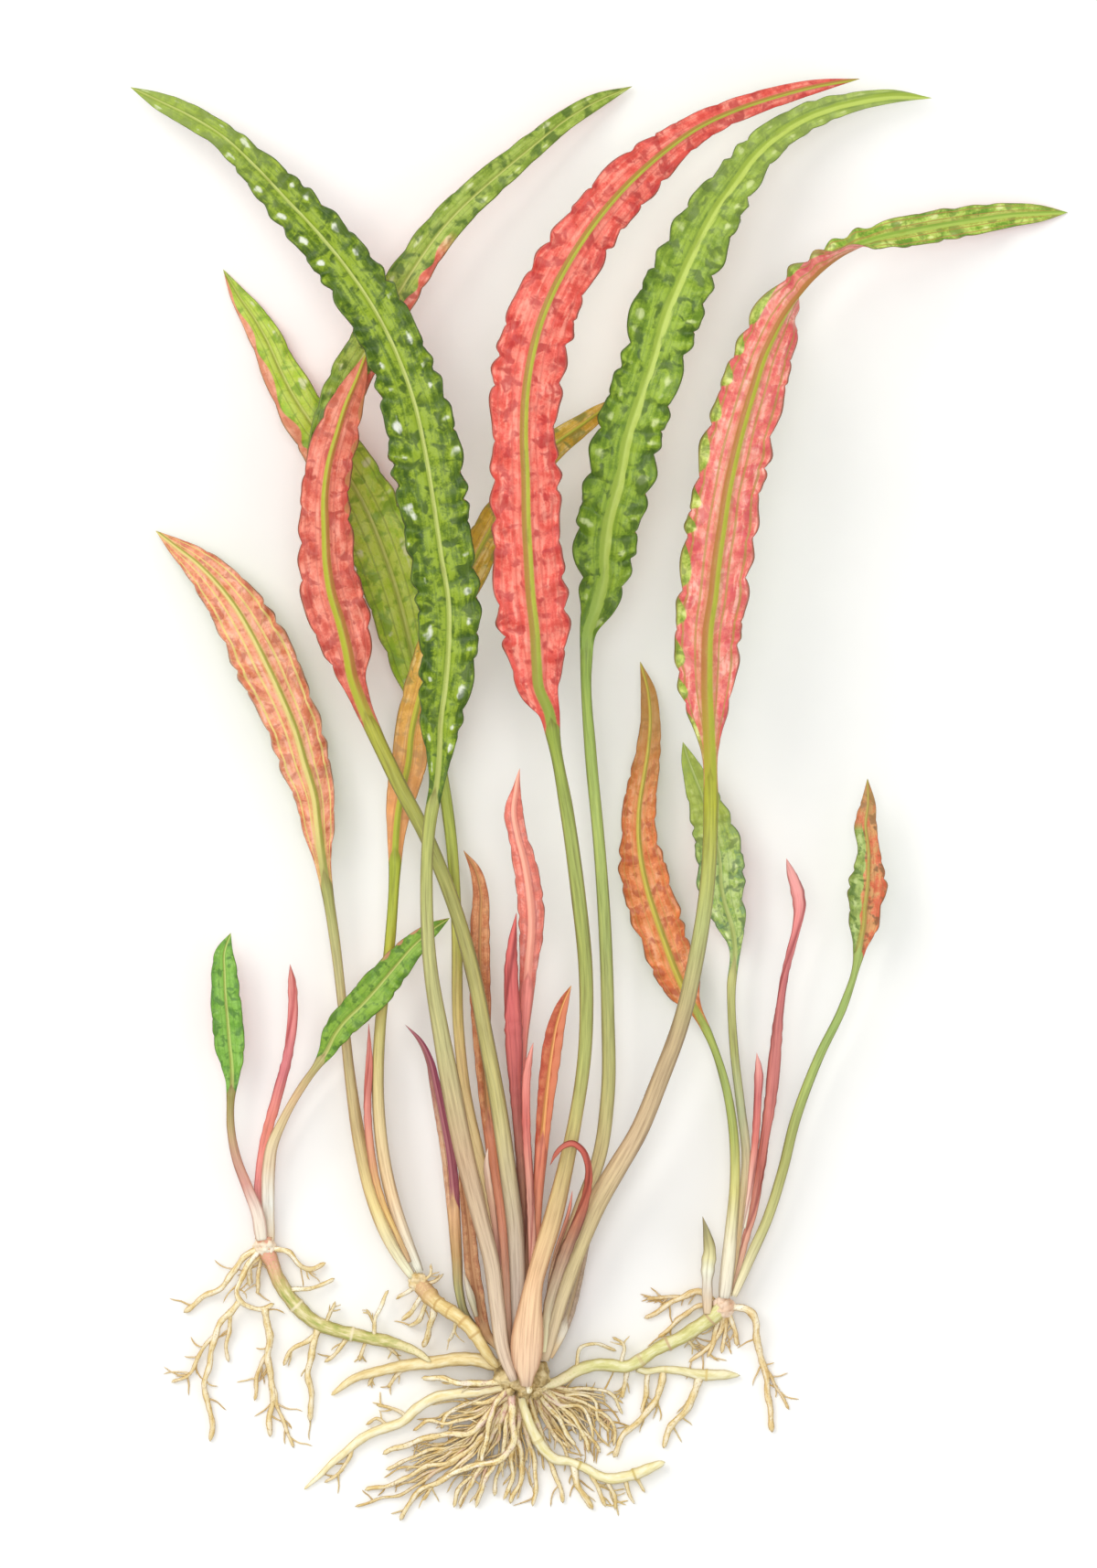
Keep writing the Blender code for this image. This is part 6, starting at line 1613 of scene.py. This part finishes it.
plant("left_runner", strand_skin([
    (0, 0, LEFT_RUNNER_LINE), *LEFT_RUNNER_ROOTS, *side_rootlets(LEFT_RUNNER_ROOTS, 20, 15),
], collars=(4.5, 34, 62), stem=True, seed=5.0), root_tissue(
    "Left runner, pale green with cream nodes",
    flesh=ROOT_FLESH, stain_and_shade="A88C50", stem=("98A64C", "CCC47C", "F0E4B8"), heel="E8A890",
    toe="EEE2B4", collar="F0E4C0", bark=ROOT_FLESH,
))

plant("right_runner", strand_skin([
    (0, 0, RIGHT_RUNNER_LINE), *RIGHT_RUNNER_ROOTS, *side_rootlets(RIGHT_RUNNER_ROOTS, 14, 16),
], collars=(46, 60, 82, 92), stem=True, seed=6.0), root_tissue(
    "Right runner, yellowish green",
    flesh=ROOT_FLESH, stain_and_shade="A88C48", stem=("C4C074", "DCD894", "F0ECC4"), heel="F2E4B8",
    collar="C8A880", bark=ROOT_FLESH,
))

plant("right_runner_tip", strand_skin([
    (0, 0, RIGHT_TIP_LINE), *RIGHT_TIP_ROOTS, *side_rootlets(RIGHT_TIP_ROOTS, 12, 17),
], collars=(13, 31), stem=True, seed=7.0), root_tissue(
    "Growing tip of a runner, cream and pale green",
    flesh=ROOT_FLESH, stain_and_shade="B09450", stem=("D8CC8C", "ECE4B4", "F8F2D4"), collar="D8C078",
    bark=ROOT_FLESH,
))

plant("lower_runner", strand_skin([
    (0, 0, LOWER_RUNNER_LINE), *LOWER_RUNNER_ROOTS, *side_rootlets(LOWER_RUNNER_ROOTS, 12, 18),
], collars=(24, 47, 73), stem=True, seed=8.0), root_tissue(
    "Lower runner, cream and yellow",
    flesh=ROOT_FLESH, stain_and_shade="B89C50", stem=("E4D890", "F2E8B8", "FBF6DC"), collar="C8B060",
    bark=ROOT_FLESH,
))

# Two storage roots lie out to the left of the rhizome. They are thick, plump and cream
# coloured, with a few slim branches, and narrow to a point over their last third.

THICK_ROOT_LINE = [
    (-10, 2.5, 14, 2.8), (-15.6, 4.2, 12.5, 3), (-22, 5.5, 11, 3.1), (-30, 5.8, 9, 3),
    (-38, 4.8, 7.5, 2.9), (-46, 3.6, 6, 2.8), (-54, 2.6, 4.8, 2.6), (-62, 1, 4, 2.4),
    (-70, -1, 3.3, 2.1), (-78, -4.5, 2.6, 1.7), (-86, -10.5, 1.5, 0.8),
]
THICK_ROOT_BRANCHES = [
    (1.1, 0.8, [(-53, 2, 4), (-58, -3, 2.5), (-61, -7.5, 1.5)]),
    (0.9, 0.7, [(-66, 0, 3.4), (-70, -6.5, 1.5)]),
]
PALE_ROOT_LINE = [
    (-10, -6, 12.5, 2.2), (-14.8, -7.2, 11, 2.2), (-22, -8.5, 9.5, 2.4), (-31, -9.3, 8, 2.4),
    (-40, -11.5, 6.5, 2.4), (-48, -16, 5, 2.3), (-54, -21.5, 4, 2.2), (-62, -25, 3.4, 2.2),
    (-70, -28, 3, 2.1), (-77, -33, 2.6, 1.9), (-83, -38.5, 2.3, 1.6), (-90, -45, 1.8, 1.2),
    (-98, -52, 1, 0.5),
]
PALE_ROOT_BRANCHES = [
    (0.9, 0.6, [(-60, -24.5, 3.6), (-66, -20.5, 2.5), (-71, -23, 1.4)]),
    (1, 0.6, [(-76, -32, 2.6), (-81, -44, 1.6), (-89, -49, 1)]),
    (0.9, 0.6, [(-52, -20, 4.4), (-58, -16.5, 3), (-66, -14.5, 1.4)]),
]

plant("thick_left_root", strand_skin([
    (0, 0, THICK_ROOT_LINE), *THICK_ROOT_BRANCHES, *side_rootlets(THICK_ROOT_BRANCHES, 6, 19),
], stem=True, seed=9.0), root_tissue(
    "Thick storage root, buff",
    flesh=ROOT_FLESH, stain_and_shade="B08C48", stem=("D8BC7C", "ECD8A0", "F8EEC8"), bark=ROOT_FLESH,
))

plant("long_pale_root", strand_skin([
    (0, 0, PALE_ROOT_LINE), *PALE_ROOT_BRANCHES, *side_rootlets(PALE_ROOT_BRANCHES, 8, 20),
], stem=True, seed=10.0), root_tissue(
    "Long storage root, pale cream",
    flesh=ROOT_FLESH, stain_and_shade="B89850", stem=("E8D494", "F4E8BC", "FCF8E0"), bark=ROOT_FLESH,
))

# The main rhizome is a stout woody lump, hidden by a fan of roots that grow from its lower end:
# about two dozen thick ones, and finer ones that fill the spaces between them.

MAIN_ROOTS = [
    (1.6, 1.2, [(-8, -4, 15), (-20, -4.6, 14.2), (-29, -4, 12), (-46, -2.5, 3.5)]),
    (1.3, 1, [(-6, -7, 10), (-20, -13.5, 8), (-29, -15.5, 5.5), (-35.5, -19.5, 4),
        (-38, -25, 2.5)]),
    (1.7, 1.2, [(-5, -7, 11), (-16, -18, 9), (-23, -25.5, 7), (-33, -28, 5), (-44, -29, 4),
        (-54, -32.5, 3), (-63, -37, 2)]),
    (1.5, 0.9, [(-5, -7, 10), (-14, -22, 7), (-22, -32, 5), (-32, -38.5, 4), (-44, -42.5, 3),
        (-57, -48.5, 2.2), (-71, -53, 1.5)]),
    (1.8, 1, [(-6, -7, 16), (-6.5, -18, 17), (-4.5, -27, 15), (-9, -36, 11), (-18, -40.5, 9),
        (-30, -43.5, 6.5), (-40, -49, 4), (-49, -55, 2.5), (-56, -65.5, 1.3)]),
    (1.4, 1, [(-7, -6, 13), (-14, -16, 12), (-17, -25, 10), (-18.5, -35, 8), (-18, -47, 4.5)]),
    (1.3, 0.9, [(-4, -7, 9), (-11, -20, 8), (-15, -30, 6), (-22, -42, 5), (-29, -52, 3),
        (-32, -60, 1.5)]),
    (1.3, 0.9, [(-4, -7, 10), (-8, -22, 9), (-10, -34, 7), (-12, -45, 4), (-14, -55, 1.8)]),
    (1.3, 0.9, [(-3, -7, 9), (-5.5, -22, 7.5), (-6, -35, 6), (-6, -47, 4), (-10.5, -56.5, 1.8)]),
    (1.4, 1, [(-2, -7, 8), (-3.5, -24, 6), (-2, -37, 4.5), (-3, -49, 3), (-6.5, -58.5, 1.5)]),
    (1.3, 0.9, [(0, -7, 7), (0, -24, 5), (2.5, -36, 4), (5, -47, 3.2), (2.7, -59.5, 1.5)]),
    (1.3, 1, [(1, -6, 7), (4, -20, 4.6), (7.5, -31, 3.2), (11.5, -42, 2.6), (14.5, -51, 2.3),
        (17, -58, 1.5)]),
    (1.1, 0.8, [(-19, -40.5, 8.5), (-24, -48, 5), (-29, -59.5, 1.5)]),
    (1.1, 0.8, [(-13, -38.5, 9.5), (-18, -49, 5.5), (-22.5, -60, 1.5)]),
    (1.4, 1, [(3, -6, 10), (11, -17, 7), (18, -26, 5.5), (22, -33, 3)]),
    (1.3, 0.9, [(4, -5, 10), (14, -13, 7), (21, -20, 6), (25, -28, 4.5), (28, -36, 2.5)]),
    (1, 0.7, [(4, -6, 9), (12, -10.8, 6.5), (23, -10, 6), (31, -14, 5), (32.5, -21, 3.5),
        (37, -27, 1.5)]),
    (1.2, 0.9, [(4, -6, 8), (13, -12.5, 5), (20, -16.5, 4), (24, -24, 3), (24, -31, 1.8)]),
    (1.2, 0.9, [(3, -6, 7), (9, -21, 4.6), (14, -30, 3.6), (19.5, -34.5, 2)]),
    (1.1, 0.8, [(4, -6, 9), (15, -14.5, 7), (24, -16, 5.5), (29, -22, 4), (29.5, -30, 2.2)]),
    (1.2, 0.8, [(-5, -7, 9), (-18, -24, 5.5), (-28, -31, 4), (-40, -34.5, 3), (-52, -38.5, 2),
        (-62, -43, 1.3)]),
    (1.1, 0.8, [(-13, -23, 6.8), (-24, -36, 5), (-36, -46, 3.5), (-46, -57, 1.8)]),
    (1.1, 0.8, [(-6, -7, 9), (-22, -19, 6), (-34, -23, 4), (-44, -21.5, 2.6), (-50, -26, 1.6)]),
    (0.9, 0.6, [(-24, -33.5, 4.8), (-40, -45, 3), (-56, -54, 2), (-75.5, -59.5, 1.1)]),
]
OUTER_ROOTS = [
    (1, 0.7, [(6, -5, 10), (20, -7, 7), (31, -8, 5.5), (40, -12, 4), (43, -19, 2.2)]),
    (1, 0.7, [(5, -6, 9), (21, -12.5, 6), (33, -17, 4.4), (39, -25, 3), (38, -33, 1.6)]),
    (1, 0.7, [(4, -7, 8), (17, -20, 5), (27, -28, 3.8), (33, -36, 1.6)]),
    (0.9, 0.6, [(3, -8, 7), (12, -27, 4.4), (20, -40, 3), (23, -52, 1.4)]),
]

plant("main_rhizome", strand_skin([
    (2.5, 2.2, [(2, -6.5, 15), (7, -6.9, 14.2), (10, -5.6, 13.3)]),
    (2.3, 2, [(1.0, -3.4, 21.6), (1.2, -5.8, 24.4), (1.2, -8.6, 26.4)]), *MAIN_ROOTS,
    *fibres_between(MAIN_ROOTS, 100, 21), *side_rootlets(MAIN_ROOTS, 50, 22),
    *OUTER_ROOTS, *fibres_between(OUTER_ROOTS, 16, 23), *side_rootlets(OUTER_ROOTS, 34, 24, 0.5),
], knobs=[
    ((-5.5, -1, 14.5), (8.2, 7, 7.8)), ((3.5, -1, 14.5), (7, 7, 7.6)),
    ((-1, -5.5, 15), (6.5, 5.5, 8)), ((4.6, -9.4, 21.6), (2.3, 2.1, 2.1)),
    ((-2.6, -9.4, 20.5), (1.6, 1.5, 1.5)), ((-6.5, -8, 19.5), (2.2, 1.8, 1.8)),
    ((5.6, -7.6, 20), (1.8, 1.6, 1.7)),
], sides=8, step=1.3, seed=11.0), root_tissue(
    "Main rhizome and its roots, cream with ochre stains",
    flesh=("DCBC78", "F0DEA8", "F8EEC6", "FFFAE6"), stain_and_shade="A07A38",
    # The dark end of the bark is painted shade, which makes the lumpy core look shaded between the
    # roots
    bark=("604C38", "B0965F", "E6D2A0"), blush="CC6C60",
))

# A pale matt table top, the studio's lights and the camera. The camera looks straight down, as
# the plant lies on the table with its roots towards the viewer.

TABLE_HALF = 6.0
LACQUER_CLOUDS_PER_METRE = 9.0

table = bpy.data.meshes.new("table_top")
top = bmesh.new()
bmesh.ops.create_grid(top, x_segments=1, y_segments=1, size=TABLE_HALF)
top.to_mesh(table)
top.free()
table_piece = bpy.data.objects.new("table_top", table)
bpy.context.scene.collection.objects.link(table_piece)
# Sprayed matt lacquer: an even near-white that takes soft shadows and no reflections
lacquer = bpy.data.materials.new("Matt table lacquer, white")
lacquer.use_nodes = True
lacquer_tree = lacquer.node_tree
lacquer_spot = add_node(lacquer_tree, "TexCoord").outputs["Object"]
lacquer_cloud = add_node(lacquer_tree, "TexNoise", {
    "Vector": lacquer_spot, "Scale": LACQUER_CLOUDS_PER_METRE, "Detail": 4.0, "Roughness": 0.6,
})
lacquer_colour = add_node(lacquer_tree, "ValToRGB", [lacquer_cloud],
                          stops=[(0.3, "F4F4F2"), (0.7, "F8F8F6")])
lacquer_shader = lacquer_tree.nodes["Principled BSDF"]
lacquer_shader.inputs["Roughness"].default_value = 0.8
lacquer_tree.links.new(lacquer_colour.outputs[0], lacquer_shader.inputs["Base Color"])
table.materials.append(lacquer)

scene = bpy.context.scene
world = bpy.data.worlds.new("Studio air")
world.use_nodes = True
air = world.node_tree.nodes["Background"]
air.inputs["Color"].default_value = linear("FCFCFC")
air.inputs["Strength"].default_value = 0.56
scene.world = world
scene.view_settings.view_transform = "Standard"


def add_light(name, place, size, power, hex_colour):
    """A square soft light that faces the middle of the plant."""
    light = bpy.data.lights.new(name, "AREA")
    light.size = size
    light.energy = power
    light.color = linear(hex_colour)[:3]
    lamp = bpy.data.objects.new(name, light)
    scene.collection.objects.link(lamp)
    lamp.location = place
    lamp.rotation_euler = (-Vector(place)).to_track_quat("-Z", "Y").to_euler()


add_light("key_light", (-2.2, 1.9, 3.2), 2.6, 84, "FFFCF6")
add_light("fill_light", (2.8, -1.4, 2.6), 3.0, 24, "F6FAFF")
add_light("overhead_light", (-0.2, 0.3, 6.9), 3.2, 145, "FFFFFF")

LENS_MM = 300
SENSOR_MM = 36
# The stretch of the plant that fills the picture, at what height, and its middle, in metres
VIEW_HEIGHT = 0.686
LEAF_HEIGHT = 0.045
VIEW_MIDDLE = (-0.0225, 0.0075)

lens = bpy.data.cameras.new("camera")
lens.lens = LENS_MM
lens.sensor_width = SENSOR_MM
lens.clip_end = 50
camera = bpy.data.objects.new("camera", lens)
scene.collection.objects.link(camera)
camera.location = (*VIEW_MIDDLE, LEAF_HEIGHT + VIEW_HEIGHT * LENS_MM / SENSOR_MM)
scene.camera = camera
